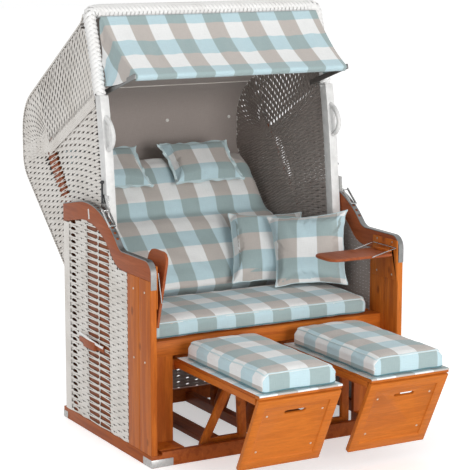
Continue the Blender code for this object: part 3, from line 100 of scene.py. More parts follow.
class Nodes:
    """A short way to lay the nodes of a tree."""

    def __init__(self, tree: bpy.types.NodeTree) -> None:
        """Work on a tree."""
        self.tree = tree

    def add(self, kind: str, settings: dict | None = None, **inputs: object) -> bpy.types.Node:
        """Add a node, set its options and link or set its inputs.

        Args:
            kind: the node's type without ShaderNode.
            settings: options such as operation.
            inputs: value or output socket for each input, by name with spaces as underscores.

        Returns:
            The new node.
        """
        node = self.tree.nodes.new("ShaderNode" + kind)
        for key, value in (settings or {}).items():
            setattr(node, key, value)
        for key, value in inputs.items():
            self.put(self.find(node, key), value)
        return node

    def find(self, node: bpy.types.Node, key: str) -> bpy.types.NodeSocket:
        """Find an input by its name, or by i and its number.

        Args:
            node: the node.
            key: name with underscores, or i0, i1 and so on.

        Returns:
            The input socket.
        """
        if key[0] == "i" and key[1:].isdigit():
            return node.inputs[int(key[1:])]
        return node.inputs[key.replace("_", " ")]

    def put(self, socket: bpy.types.NodeSocket, value: object) -> None:
        """Link an output to a socket, or set the socket's value."""
        if isinstance(value, bpy.types.NodeSocket):
            self.tree.links.new(value, socket)
        else:
            socket.default_value = value

    def maths(self, operation: str, a: object, b: object = 0.0, c: object = 0.5,
              clamp: bool = False) -> bpy.types.NodeSocket:
        """Work out one sum of up to three values and return its result."""
        return self.add("Math", {"operation": operation, "use_clamp": clamp}, i0=a, i1=b, i2=c).outputs[0]


class Recipe(Nodes):
    """The nodes of one material round its Principled shader."""

    def __init__(self, name: str) -> None:
        """Start a material of this name."""
        self.material = bpy.data.materials.new(name)
        self.material.use_nodes = True
        super().__init__(self.material.node_tree)
        self.shader = self.tree.nodes["Principled BSDF"]

    def ramp(self, value: bpy.types.NodeSocket, *stops: tuple[float, Colour]) -> bpy.types.NodeSocket:
        """Turn a value into a colour.

        Args:
            value: the value to look up.
            stops: place and colour of each stop.

        Returns:
            The colour socket.
        """
        node = self.add("ValToRGB", i0=value)
        band = node.color_ramp.elements
        while len(band) < len(stops):
            band.new(0.5)
        for element, (place, colour) in zip(band, stops):
            element.position = place
            element.color = (*colour, 1.0)
        return node.outputs[0]

    def mix(self, share: object, a: object, b: object, blend: str = "MIX") -> bpy.types.NodeSocket:
        """Mix two colours and return the result."""
        node = self.tree.nodes.new("ShaderNodeMix")
        node.data_type = "RGBA"
        node.blend_type = blend
        self.put(node.inputs[0], share)
        for socket, value in ((node.inputs[6], a), (node.inputs[7], b)):
            self.put(socket, (*value, 1.0) if isinstance(value, tuple) and len(value) == 3 else value)
        return node.outputs[2]

    def object_space(self, scale: Point = (1, 1, 1)) -> bpy.types.NodeSocket:
        """Object coordinates through a Mapping node."""
        place = self.add("TexCoord").outputs["Object"]
        return self.add("Mapping", Vector=place, Scale=tuple(scale)).outputs[0]

    def noise(self, place: object, scale: float, detail: float = 3.0,
              rough: float = 0.5) -> bpy.types.NodeSocket:
        """A noise value at a place."""
        return self.add("TexNoise", Vector=place, Scale=scale, Detail=detail, Roughness=rough).outputs[0]

    def bump(self, height: object, depth: float, strength: float = 1.0) -> None:
        """Raise the surface by a height pattern, depth in metres."""
        node = self.add("Bump", Height=height, Distance=depth, Strength=strength)
        self.tree.links.new(node.outputs[0], self.shader.inputs["Normal"])

    def surface(self, colour: object, roughness: object, **more: object) -> bpy.types.Material:
        """Set the shader's main inputs and return the material."""
        self.put(self.shader.inputs["Base Color"], (*colour, 1.0) if isinstance(colour, tuple) else colour)
        self.put(self.shader.inputs["Roughness"], roughness)
        for key, value in more.items():
            self.put(self.shader.inputs[key.replace("_", " ")], value)
        return self.material


def darker(colour: Colour, share: float) -> Colour:
    """A colour brought down to a share of itself."""
    return tuple(v * share for v in colour)


@dataclass(frozen=True)
class WoodFinish:
    """Oiled softwood with long grain, growth figure and a few knots."""

    name: str
    light: Colour
    dark: Colour
    grain: Axis = Axis.Z
    knot: float = 0.7
    across: float = 14.0
    along: float = 1.1
    rings: float = 34.0
    fibre: float = 9.0
    knots_across: float = 10.0
    knots_along: float = 5.6
    roughness: float = 0.36
    shine: float = 0.16

    def stretch(self, across: float, along: float) -> list[float]:
        """Scale of a pattern, across the grain and along it."""
        scale = [across] * 3
        scale[self.grain.value] = along
        return scale

    def make(self) -> bpy.types.Material:
        """Make the material."""
        recipe = Recipe(self.name)
        scale = self.stretch(self.across, self.along)
        figure = recipe.noise(recipe.object_space(scale), 2.4)
        rings = recipe.maths("SINE", recipe.maths("MULTIPLY", figure, self.rings))
        rings = recipe.maths("MULTIPLY_ADD", rings, 0.5)
        fine = recipe.noise(recipe.object_space([v * self.fibre for v in scale]), 3.0, 5.0, 0.65)
        body = recipe.ramp(figure, (0.32, self.dark), (0.66, self.light))
        body = recipe.mix(recipe.maths("MULTIPLY", rings, 0.30), body, darker(self.dark, 0.72))
        streak = recipe.ramp(fine, (0.34, (0.62, 0.62, 0.62)), (0.60, (1.0, 1.0, 1.0)))
        body = recipe.mix(0.45, body, streak, "MULTIPLY")
        place = recipe.object_space(self.stretch(self.knots_across, self.knots_along))
        cell = recipe.add("TexVoronoi", Vector=place, Scale=1.0, Randomness=1.0).outputs[0]
        knot = recipe.ramp(cell, (0.06, (1.0, 1.0, 1.0)), (0.12, (0.0, 0.0, 0.0)))
        body = recipe.mix(recipe.maths("MULTIPLY", knot, self.knot), body, darker(self.dark, 0.42))
        recipe.bump(fine, 0.0006, 0.5)
        rough = recipe.maths("MULTIPLY_ADD", fine, 0.22, self.roughness)
        return recipe.surface(body, rough, Specular_IOR_Level=self.shine)


@dataclass(frozen=True)
class StrandFinish:
    """Extruded wicker strand with a faint fine mottle and a soft shine."""

    name: str
    colour: Colour
    shade: Colour
    roughness: float = 0.46

    def make(self) -> bpy.types.Material:
        """Make the material."""
        recipe = Recipe(self.name)
        wide = recipe.noise(recipe.object_space(), 9.0, 2.0)
        fine = recipe.noise(recipe.object_space(), 420.0, 3.0, 0.6)
        body = recipe.ramp(wide, (0.38, self.shade), (0.58, self.colour))
        body = recipe.mix(recipe.maths("MULTIPLY", fine, 0.16), body, darker(self.shade, 0.6))
        recipe.bump(fine, 0.0003, 0.35)
        return recipe.surface(body, recipe.maths("MULTIPLY_ADD", fine, 0.15, self.roughness - 0.07))


@dataclass(frozen=True)
class WovenFinish:
    """A flat wall of taupe rows seen from inside, with pale specks of painted light at its crossings, where
    daylight would show through the weave.
    """

    name: str
    colour: Colour
    # The colour of the painted light specks.
    painted_light_speck: Colour
    row: float = 0.01335
    stake: float = 0.044
    dot: float = 0.10
    missing: float = 0.46
    roughness: float = 0.6

    def make(self) -> bpy.types.Material:
        """Make the material."""
        recipe = Recipe(self.name)
        split = recipe.add("SeparateXYZ", i0=recipe.object_space())
        level = recipe.maths("DIVIDE", split.outputs[2], self.row)
        parity = recipe.maths("MULTIPLY", recipe.maths("FLOOR", level), 0.5)
        place = recipe.maths("ADD", recipe.maths("DIVIDE", split.outputs[1], self.stake), parity)
        off_row = recipe.maths("PINGPONG", level, 0.5)
        off_stake = recipe.maths("PINGPONG", place, 0.5)
        low = recipe.maths("LESS_THAN", off_row, self.dot)
        near = recipe.maths("LESS_THAN", off_stake, self.dot)
        # Where the painted light specks fall: near a row's edge and a stake at once, some left out at random.
        painted_light_speck = recipe.maths("MULTIPLY", low, near)
        chance = recipe.noise(recipe.object_space(), 60.0, 1.0)
        painted_light_speck = recipe.maths("MULTIPLY", painted_light_speck, recipe.maths("GREATER_THAN", chance, self.missing))
        body = recipe.mix(painted_light_speck, self.colour, self.painted_light_speck)
        wave = recipe.maths("COSINE", recipe.maths("MULTIPLY", place, 2 * math.pi))
        height = recipe.maths("ADD", recipe.maths("SQRT", off_row), recipe.maths("MULTIPLY", wave, 0.4))
        recipe.bump(height, 0.0012, 0.8)
        return recipe.surface(body, self.roughness)


class Pattern(Enum):
    """What is woven into a cloth."""

    CHECK = "check"
    PLAIN = "plain"


@dataclass(frozen=True)
class ClothFinish:
    """Woven cotton cloth, plain or in a large two-way check, laid on the piece's UV map in metres."""

    name: str
    pattern: Pattern = Pattern.CHECK
    colour: Colour = (0.86, 0.87, 0.865)
    taupe: Colour = (0.53, 0.485, 0.45)
    blue: Colour = (0.52, 0.69, 0.745)
    both: Colour = (0.34, 0.44, 0.445)
    cell: float = 0.083
    thread: float = 0.0016
    roughness: float = 0.82
    edge: float = 60.0
    slub_long: float = 30.0
    slub_fine: float = 900.0

    def stripe(self, recipe: Recipe, run: bpy.types.NodeSocket) -> bpy.types.NodeSocket:
        """A soft-edged stripe of one cell in every two.

        Args:
            recipe: the material's recipe.
            run: distance across the stripes, in metres.

        Returns:
            The stripe's strength from 0 to 1.
        """
        share = recipe.maths("DIVIDE", run, 2 * self.cell)
        wave = recipe.maths("PINGPONG", recipe.maths("FRACT", share), 0.5)
        return recipe.maths("MULTIPLY_ADD", recipe.maths("SUBTRACT", wave, 0.25), self.edge, clamp=True)

    def make(self) -> bpy.types.Material:
        """Make the material."""
        recipe = Recipe(self.name)
        chart = recipe.add("TexCoord").outputs["UV"]
        split = recipe.add("SeparateXYZ", i0=chart)
        u, v = split.outputs[0], split.outputs[1]
        if self.pattern is Pattern.CHECK:
            columns, rows = self.stripe(recipe, u), self.stripe(recipe, v)
            plain = recipe.mix(columns, self.colour, self.taupe)
            crossed = recipe.mix(columns, self.blue, self.both)
            body = recipe.mix(rows, plain, crossed)
        else:
            body = self.colour
        warp, weft = (recipe.maths("SINE", recipe.maths("MULTIPLY", run, 2 * math.pi / self.thread))
                      for run in (u, v))
        fine, long = self.slub_fine, self.slub_long
        slubs = [recipe.noise(recipe.add("Mapping", Vector=chart, Scale=scale).outputs[0], 1.0, 2.0)
                 for scale in ((fine, long, 1.0), (long, fine, 1.0))]
        slub = recipe.maths("ADD", *slubs)
        tone = recipe.ramp(recipe.maths("MULTIPLY", slub, 0.5),
                           (0.36, (0.86, 0.86, 0.86)), (0.62, (1.0, 1.0, 1.0)))
        body = recipe.mix(0.8, body, tone, "MULTIPLY")
        height = recipe.maths("MULTIPLY_ADD", recipe.maths("MULTIPLY", warp, weft), 0.5)
        recipe.bump(recipe.maths("ADD", height, slub), 0.0004, 0.5)
        return recipe.surface(body, self.roughness, Sheen_Weight=0.25, Sheen_Roughness=0.5)


@dataclass(frozen=True)
class MetalFinish:
    """Bare or plated metal, lightly mottled."""

    name: str
    colour: Colour
    roughness: float
    mottle: float = 60.0
    metallic: float = 1.0

    def make(self) -> bpy.types.Material:
        """Make the material."""
        recipe = Recipe(self.name)
        patch = recipe.noise(recipe.object_space(), self.mottle, 4.0, 0.6)
        body = recipe.ramp(patch, (0.3, darker(self.colour, 0.82)), (0.65, self.colour))
        rough = recipe.maths("MULTIPLY_ADD", patch, 0.18, self.roughness - 0.08)
        recipe.bump(recipe.noise(recipe.object_space(), 900.0, 2.0), 0.00015, 0.3)
        return recipe.surface(body, rough, Metallic=self.metallic)


Finish = WoodFinish | StrandFinish | WovenFinish | ClothFinish | MetalFinish
MADE: dict[str, bpy.types.Material] = {}


def material_of(finish: Finish) -> bpy.types.Material:
    """A finish's material, made the first time that it is asked for."""
    if finish.name not in MADE:
        MADE[finish.name] = finish.make()
    return MADE[finish.name]


ORANGE = (0.64, 0.180, 0.022)
ORANGE_DARK = (0.44, 0.100, 0.012)
TIMBER_UP = WoodFinish("timber_upright", ORANGE, ORANGE_DARK, Axis.Z)
TIMBER_LONG = WoodFinish("timber_long", ORANGE, ORANGE_DARK, Axis.Y)
TIMBER_WIDE = WoodFinish("timber_wide", ORANGE, ORANGE_DARK, Axis.X, 0.4)
TIMBER_ARM = WoodFinish("timber_arm", (0.41, 0.112, 0.038), (0.31, 0.074, 0.024), Axis.Y, 0.2)
TIMBER_LOW = WoodFinish("timber_low", (0.46, 0.115, 0.020), (0.30, 0.062, 0.010), Axis.Y, 0.4)
# Painted shade: dark wood for the outward faces of the side frames, standing for the shadow on the wood seen
# through the side walls' slots.
TIMBER_PAINTED_SHADE = WoodFinish("timber_shade", (0.30, 0.080, 0.020), (0.20, 0.048, 0.012), Axis.Z, 0.0)
TIMBER_PANEL = WoodFinish("timber_panel", (0.64, 0.185, 0.024), (0.56, 0.150, 0.017), Axis.X, 0.0)
STRAND_WHITE = StrandFinish("strand_white", (0.80, 0.765, 0.72), (0.72, 0.68, 0.63))
STRAND_TAUPE = StrandFinish("strand_taupe", (0.36, 0.31, 0.285), (0.31, 0.265, 0.243), 0.6)
# Painted shade: near-black strand colour for the outward faces of the inner wicker layers, standing for the
# shadow between the two layers that shows through the outer openings.
STRAND_PAINTED_SHADE = StrandFinish("strand_deep", (0.085, 0.068, 0.060), (0.060, 0.048, 0.042), 0.7)
BRAID_WHITE = StrandFinish("braid_white", (0.88, 0.875, 0.865), (0.83, 0.82, 0.805), 0.5)
# The side lining's pale specks are painted light, daylight through the weave's crossings.
SIDE_LINING = WovenFinish("side_lining_weave", (0.25, 0.214, 0.197), (0.62, 0.60, 0.57))
CHECK = ClothFinish("check_cloth")
LINING = ClothFinish("taupe_cloth", Pattern.PLAIN, (0.39, 0.338, 0.313), thread=0.0042, roughness=0.9)
PIPING = ClothFinish("blue_piping", Pattern.PLAIN, (0.62, 0.76, 0.79), thread=0.0012)
EDGING = ClothFinish("teal_piping", Pattern.PLAIN, (0.10, 0.22, 0.25), thread=0.0012)
RAIL = MetalFinish("rail_steel", (0.25, 0.25, 0.247), 0.40)
ZINC = MetalFinish("corner_zinc", (0.46, 0.46, 0.455), 0.42, 130.0)
CHROME = MetalFinish("bail_chrome", (0.56, 0.56, 0.555), 0.24, 40.0)
WHITE_PAINT = MetalFinish("white_lacquer", (0.76, 0.76, 0.75), 0.40, 25.0, 0.0)
BLACK_PAINT = MetalFinish("black_lacquer", (0.02, 0.02, 0.022), 0.35, 60.0, 0.0)
SCREW = MetalFinish("screw_zinc", (0.66, 0.60, 0.50), 0.35, 200.0)
BUTTON = MetalFinish("pale_button", (0.80, 0.79, 0.76), 0.45, 90.0, 0.0)


# Bench tools


def pick(*things: bpy.types.Object) -> None:
    """Select only these objects, the first of them active."""
    bpy.ops.object.select_all(action="DESELECT")
    for thing in things:
        thing.select_set(True)
    bpy.context.view_layer.objects.active = things[0]


def linked(name: str, data: bpy.types.ID) -> bpy.types.Object:
    """A new object with its data, in the scene."""
    thing = bpy.data.objects.new(name, data)
    bpy.context.scene.collection.objects.link(thing)
    return thing


@contextmanager
def editing(thing: bpy.types.Object) -> Iterator[None]:
    """Work on one piece in edit mode, with its whole mesh selected."""
    pick(thing)
    bpy.ops.object.mode_set(mode="EDIT")
    bpy.ops.mesh.select_all(action="SELECT")
    yield
    bpy.ops.object.mode_set(mode="OBJECT")


def from_arrays(name: str, points: np.ndarray, quads: np.ndarray) -> bpy.types.Object:
    """Make a mesh object from arrays.

    Args:
        name: name of the object.
        points: corner places, one row each.
        quads: four corner numbers a row.

    Returns:
        The object, in the scene.
    """
    mesh = bpy.data.meshes.new(name)
    mesh.vertices.add(len(points))
    mesh.vertices.foreach_set("co", np.asarray(points, dtype=np.float32).ravel())
    mesh.loops.add(quads.size)
    mesh.loops.foreach_set("vertex_index", quads.astype(np.int32).ravel())
    mesh.polygons.add(len(quads))
    mesh.polygons.foreach_set("loop_start", np.arange(0, quads.size, 4, dtype=np.int32))
    mesh.update(calc_edges=True)
    mesh.validate()
    return linked(name, mesh)


def grid_quads(rows: int, wide: int, first: int = 0) -> np.ndarray:
    """Faces of a grid of points, numbered row by row from its first point."""
    at = first + np.arange(rows * wide).reshape(rows, wide)
    return np.stack([at[:-1, :-1], at[:-1, 1:], at[1:, 1:], at[1:, :-1]], axis=-1).reshape(-1, 4)


def block(low: Vector, high: Vector) -> tuple[np.ndarray, np.ndarray]:
    """Corners and outward faces of a box between two corners."""
    corners = np.array([(x, y, z) for x in (low.x, high.x) for y in (low.y, high.y) for z in (low.z, high.z)])
    faces = np.array([(0, 1, 3, 2), (4, 6, 7, 5), (0, 4, 5, 1), (2, 3, 7, 6), (0, 2, 6, 4), (1, 5, 7, 3)])
    return corners, faces


def own_copy(node: str, name: str) -> bpy.types.Object:
    """Copy a frame node's mesh, merged and with flat faces joined.

    Args:
        node: name of the frame node.
        name: name of the copy.

    Returns:
        The copy.
    """
    thing = linked(name, frame["nodes"][node].data.copy())
    with editing(thing):
        bpy.ops.mesh.remove_doubles(threshold=0.00002)
        bpy.ops.mesh.dissolve_limited(angle_limit=math.radians(1.0))
    return thing


def apply(thing: bpy.types.Object, kind: str, **settings: object) -> None:
    """Add a modifier and apply it.

    Args:
        thing: the piece.
        kind: type of the modifier.
        settings: its options.
    """
    pick(thing)
    modifier = thing.modifiers.new(kind.lower(), kind)
    for key, value in settings.items():
        setattr(modifier, key, value)
    bpy.ops.object.modifier_apply(modifier=modifier.name)


def dress(thing: bpy.types.Object, finish: Finish, body: str, angle: float = 35.0) -> None:
    """Give a piece its material, shading and body.

    Args:
        thing: the piece.
        finish: its finish.
        body: name of the body that it rides on.
        angle: edges sharper than this stay crisp, in degrees.
    """
    thing.data.materials.clear()
    thing.data.materials.append(material_of(finish))
    pick(thing)
    bpy.ops.object.shade_smooth_by_angle(angle=math.radians(angle))
    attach(thing, body)
    log.info("%s: %d faces", thing.name, len(thing.data.polygons))


def shaded(thing: bpy.types.Object, finish: Finish, side: int, least: float = 0.0) -> None:
    """Give the faces that look to one side their own material.

    Args:
        thing: the piece.
        finish: the finish of those faces.
        side: 1 for the faces that look along x, -1 for the others.
        least: how squarely a face has to look that way.
    """
    thing.data.materials.append(material_of(finish))
    index = len(thing.data.materials) - 1
    for face in thing.data.polygons:
        if face.normal.x * side > least:
            face.material_index = index


def body_of(node: str) -> str:
    """Name of the body that a frame node rides on."""
    return frame["nodes"][node].parent.name.split(":")[-1]


def break_edges(thing: bpy.types.Object, width: float, segments: int = 2) -> None:
    """Break a piece's sharp edges, in steps across each."""
    apply(thing, "BEVEL", width=width, segments=segments, limit_method="ANGLE",
          angle_limit=math.radians(40), use_clamp_overlap=True)


def merged(things: list[bpy.types.Object], name: str) -> bpy.types.Object:
    """Join pieces into one object."""
    pick(*things)
    if len(things) > 1:
        bpy.ops.object.join()
    thing = bpy.context.view_layer.objects.active
    thing.name = name
    return thing


@dataclass
class Strand:
    """One flat strand along a line: middle points, edges up and down, and which way it faces.

    The edges and the facing hold a vector for each point, or one for them all.
    """

    middle: np.ndarray
    up: np.ndarray
    down: np.ndarray
    face: np.ndarray
    thick: float = 0.0014


def strand_mesh(name: str, strands: Sequence[Strand]) -> bpy.types.Object:
    """Make strands with a lens-shaped section.

    Args:
        name: name of the object.
        strands: the strands.

    Returns:
        One object with every strand.
    """
    points: list[np.ndarray] = []
    quads: list[np.ndarray] = []
    base = 0
    for strand in strands:
        count = len(strand.middle)
        if count < 2:
            continue
        ring = np.stack(
            [strand.middle + strand.up, strand.middle + strand.face * strand.thick,
             strand.middle + strand.down, strand.middle - strand.face * strand.thick], axis=1)
        points.append(ring.reshape(-1, 3))
        rows = np.arange(count - 1)[:, None] * 4
        for k in range(4):
            j = (k + 1) % 4
            quads.append(base + np.hstack([rows + k, rows + j, rows + 4 + j, rows + 4 + k]))
        last = base + (count - 1) * 4
        quads.append(np.array([[base + 3, base + 2, base + 1, base], [last, last + 1, last + 2, last + 3]]))
        base += count * 4
    thing = from_arrays(name, np.concatenate(points), np.concatenate(quads))
    with editing(thing):
        bpy.ops.mesh.normals_make_consistent(inside=False)
    return thing


def tube(name: str, path: Sequence[Point], radius: float, closed: bool = False) -> bpy.types.Object:
    """A round bar or cord along a path.

    Args:
        name: name of the object.
        path: points along it.
        radius: its radius.
        closed: whether it joins up with its start.

    Returns:
        The bar as a mesh.
    """
    curve = bpy.data.curves.new(name, "CURVE")
    curve.dimensions = "3D"
    curve.bevel_depth = radius
    curve.bevel_resolution = 2
    curve.use_fill_caps = not closed
    line = curve.splines.new("POLY")
    line.points.add(len(path) - 1)
    line.use_cyclic_u = closed
    for point, place in zip(line.points, path):
        point.co = (*place, 1.0)
    pick(linked(name, curve))
    bpy.ops.object.convert(target="MESH")
    return bpy.context.view_layer.objects.active


def primitive(kind: str, name: str, **settings: object) -> bpy.types.Object:
    """Add a primitive at the origin, with nothing else selected."""
    bpy.ops.object.select_all(action="DESELECT")
    getattr(bpy.ops.mesh, f"primitive_{kind}_add")(location=(0, 0, 0), **settings)
    thing = bpy.context.view_layer.objects.active
    thing.name = name
    return thing


def turned(name: str, centre: Point, axis: Point, radius: float, height: float,
           sides: int = 16) -> bpy.types.Object:
    """A short round piece with a domed end, such as a screw head or a button.

    Args:
        name: name of the object.
        centre: middle of its seat.
        axis: direction that it stands in.
        radius: its radius.
        height: its height.
        sides: number of sides.

    Returns:
        The piece, with its place in its mesh.
    """
    turn = Vector(axis).to_track_quat("Z", "Y").to_matrix().to_4x4()
    thing = primitive("cylinder", name, vertices=sides, radius=radius, depth=height)
    bpy.ops.object.mode_set(mode="EDIT")
    bpy.ops.mesh.select_mode(type="FACE")
    bpy.ops.mesh.select_all(action="DESELECT")
    shape = bmesh.from_edit_mesh(thing.data)
    for face in shape.faces:
        face.select_set(face.normal.z > 0.9)
    bmesh.update_edit_mesh(thing.data)
    bpy.ops.mesh.inset(thickness=radius * 0.28, depth=height * 0.30)
    bpy.ops.mesh.inset(thickness=radius * 0.34, depth=height * 0.12)
    bpy.ops.object.mode_set(mode="OBJECT")
    thing.data.transform(Matrix.Translation(Vector(centre)) @ turn)
    return thing


def woven(name: str, strands: Sequence[Strand], finish: Finish, body: str,
          node: str = "") -> bpy.types.Object:
    """Make one layer of wicker from its strands.

    Args:
        name: name of the piece.
        strands: its strands.
        finish: its finish.
        body: the body it rides on.
        node: the frame node that it stands for, if any.

    Returns:
        The layer.
    """
    thing = strand_mesh(name, strands)
    if node:
        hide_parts(node)
    dress(thing, finish, body, 60)
    return thing


def raised(heights: np.ndarray) -> np.ndarray:
    """Upright vectors of these heights."""
    return np.outer(heights, (0.0, 0.0, 1.0))


def smooth_step(value: np.ndarray) -> np.ndarray:
    """Ease from 0 to 1."""
    share = np.clip(value, 0, 1)
    return share * share * (3 - 2 * share)


def inside(points: np.ndarray, outline: Sequence[tuple[float, float]]) -> np.ndarray:
    """Which points lie inside an outline.

    Args:
        points: places, two numbers a row.
        outline: the closed outline.

    Returns:
        True or False for each point.
    """
    held = np.zeros(len(points), dtype=bool)
    x, y = points[:, 0], points[:, 1]
    for (x0, y0), (x1, y1) in zip(outline, list(outline[1:]) + [outline[0]]):
        if y0 == y1:
            continue
        crosses = (y0 > y) != (y1 > y)
        held ^= crosses & (x < (x1 - x0) * (y - y0) / (y1 - y0) + x0)
    return held


# Wicker


@dataclass
class Crossing:
    """How strands pass the stakes: wave height, and the small openings that the crossings leave."""

    wave: float = 0.0016
    pinch: float = 0.0042
    spread: float = 0.0058
    slack: float = 0.0003
    back_gap: float = 0.0036
    stake: float = 0.044

    def closer(self) -> "Crossing":
        """The same crossing with smaller openings, for an inner layer."""
        return replace(self, pinch=self.pinch * 0.85, slack=0.0001)

    def dots(self, phase: np.ndarray, number: int) -> np.ndarray:
        """How far a strand's edge draws back from each opening that borders it.

        Args:
            phase: place along the strand, whole at each stake.
            number: number of the border between two strands.

        Returns:
            The draw for each point, in metres.
        """
        near = np.round(phase)
        open_here = (near.astype(int) + number) % 2 == 0
        reach = np.abs(phase - near)
        return np.where(open_here, self.pinch * np.exp(-((reach * self.stake / self.spread) ** 2)), 0.0)

    def lift(self, phase: np.ndarray, number: int) -> np.ndarray:
        """How far a strand stands out from the wall's middle at each point."""
        return self.wave * np.cos(math.pi * (phase + number))


@dataclass
class Wall:
    """A wicker wall at one side of the chair."""

    side: int
    name: str

    @property
    def facing(self) -> np.ndarray:
        """The wall's outward direction."""
        return np.array([self.side, 0.0, 0.0])


@dataclass
class SideWall(Wall):
    """Wicker side of the base: paired rows, two open columns, a column of small slots and an edge strip."""

    stakes: tuple[float, ...] = (
        -0.2047, -0.165, -0.121, -0.077, -0.042, 0.059, 0.164, 0.206, 0.248, 0.322, 0.380)
    columns: tuple[tuple[float, float, float, float], ...] = (
        (-0.044, 0.055, 0.0145, 0.007), (0.063, 0.162, 0.0145, 0.007), (0.262, 0.312, 0.0115, 0.012))
    foot: float = 0.0453
    first_slot: float = 0.0585
    pitch: float = 0.0265
    skin: float = 0.5552
    step: float = 0.005
    over_top: float = 0.001
    under_foot: float = 0.004
    fewest: int = 4
    stake_half: float = 0.0035
    strip_at: float = 0.350
    strip_half: float = 0.0275
    weave: Crossing = field(default_factory=lambda: Crossing(pinch=0.0042, spread=0.0038, slack=0.0002))

    def upright(self, y: float, high: float, off: float, half: float, points: int, thick: float) -> Strand:
        """One straight upright strand.

        Args:
            y: its place in depth.
            high: height of its top.
            off: how far it lies outside the rows' middle.
            half: half its width.
            points: points along it.
            thick: its thickness.

        Returns:
            The strand.
        """
        line = np.column_stack([np.full(points, self.side * (self.skin + off)), np.full(points, y),
                                np.linspace(self.foot, high, points)])
        wide = np.array([0.0, half, 0.0])
        return Strand(line, wide, -wide, self.facing, thick)

    def top_line(self, ys: np.ndarray) -> np.ndarray:
        """Height of the wall's upper edge under the arm.

        Args:
            ys: places in depth.

        Returns:
            The height at each place.
        """
        mesh = frame["nodes"][f"side_panel_{self.name}"].data
        places = np.array([v.co[:] for v in mesh.vertices])
        high = np.full(len(ys), -1.0)
        for edge in mesh.edges:
            a, b = places[edge.vertices[0]], places[edge.vertices[1]]
            if abs(a[1] - b[1]) < 1e-6:
                continue
            if a[1] > b[1]:
                a, b = b, a
            held = (ys >= a[1]) & (ys <= b[1])
            level = a[2] + (ys - a[1]) / (b[1] - a[1]) * (b[2] - a[2])
            high = np.where(held, np.maximum(high, level), high)
        return high

    def openness(self, ys: np.ndarray) -> np.ndarray:
        """Height of the open slot at each place in depth."""
        tall = np.zeros(len(ys))
        for low, high, height, taper in self.columns:
            tall += height * smooth_step((ys - low) / taper) * smooth_step((high - ys) / taper)
        return tall

    def rows(self, inset: float, step: float) -> list[Strand]:
        """Every row of one layer.

        Args:
            inset: how far the layer lies inside the outer one.
            step: distance between points.

        Returns:
            The rows as strands.
        """
        ys = np.arange(self.stakes[0], self.stakes[-1] + step / 2, step)
        phase = np.interp(ys, self.stakes, np.arange(len(self.stakes)))
        high = self.top_line(ys)
        tall = self.openness(ys)
        strands: list[Strand] = []
        count = int((high.max() - self.foot) / (self.pitch / 2)) + 4
        for number in range(-1, count):
            pair, upper = divmod(number, 2)
            turn = 1 if upper else -1
            middle = self.first_slot + (pair + 0.5) * self.pitch + turn * (self.pitch - tall) / 4
            half = (self.pitch - tall) / 4 - self.weave.slack
            above = half - self.weave.dots(phase, number)
            below = half - self.weave.dots(phase, number - 1)
            keep = (middle + above < high + self.over_top) & (middle - below > self.foot - self.under_foot)
            if keep.sum() < self.fewest:
                continue
            first = int(np.argmax(keep))
            last = len(keep) - int(np.argmax(keep[::-1]))
            part = slice(first, last)
            out = self.skin - inset + self.weave.lift(phase, number)
            places = np.stack([self.side * out, ys, middle], axis=1)[part]
            strands.append(Strand(places, raised(above[part]), raised(-below[part]), self.facing))
        return strands

    def uprights(self) -> list[Strand]:
        """The stakes that the rows pass, and the smooth strip over the rows' rear ends."""
        high = self.top_line(np.array(self.stakes) * 0.999)
        made = [self.upright(y, top - 0.004, -0.0018, self.stake_half, 12, 0.001)
                for y, top in zip(self.stakes[1:-1], high[1:-1])]
        top = float(self.top_line(np.array([self.strip_at]))[0])
        made.append(self.upright(self.strip_at, top - 0.002, 0.0024, self.strip_half, 40, 0.0016))
        return made

    def build(self) -> None:
        """Weave both layers and dress them."""
        woven(f"side_weave_{self.name}", self.rows(0.0, self.step) + self.uprights(), STRAND_WHITE, "base",
              f"side_panel_{self.name}")
        inner = woven(f"side_weave_inner_{self.name}", self.rows(self.weave.back_gap, self.step * 1.6),
                      STRAND_TAUPE, "base")
        # The inner layer's outward faces get painted shade, the shadow between the two layers.
        shaded(inner, STRAND_PAINTED_SHADE, self.side)


@dataclass
class RearWall:
    """Low wicker wall at the base's back, under its wooden rail."""

    half: float = 0.5315
    low: float = 0.0575
    rows: int = 20
    points: int = 180
    plane: float = 0.3768
    stake_pitch: float = 0.0437
    pitch: float = 0.01335
    weave: Crossing = field(default_factory=Crossing)

    def layer(self, depth: float) -> list[Strand]:
        """The straight rows of one layer, whose middle lies at this depth."""
        xs = np.linspace(-self.half, self.half, self.points)
        phase = xs / self.stake_pitch
        flat = self.pitch / 2 - self.weave.slack
        strands: list[Strand] = []
        for number in range(self.rows):
            above = flat - self.weave.dots(phase, number)
            below = flat - self.weave.dots(phase, number - 1)
            level = np.full_like(xs, self.low + (number + 0.5) * self.pitch)
            places = np.column_stack([xs, depth + self.weave.lift(phase, number), level])
            strands.append(Strand(places, raised(above), raised(-below), np.array([0.0, 1.0, 0.0])))
        return strands

    def build(self) -> None:
        """Weave both layers."""
        woven("rear_weave", self.layer(self.plane), STRAND_WHITE, "base")
        back = replace(self, weave=self.weave.closer())
        woven("rear_weave_inner", back.layer(self.plane - self.weave.back_gap), STRAND_TAUPE, "base")


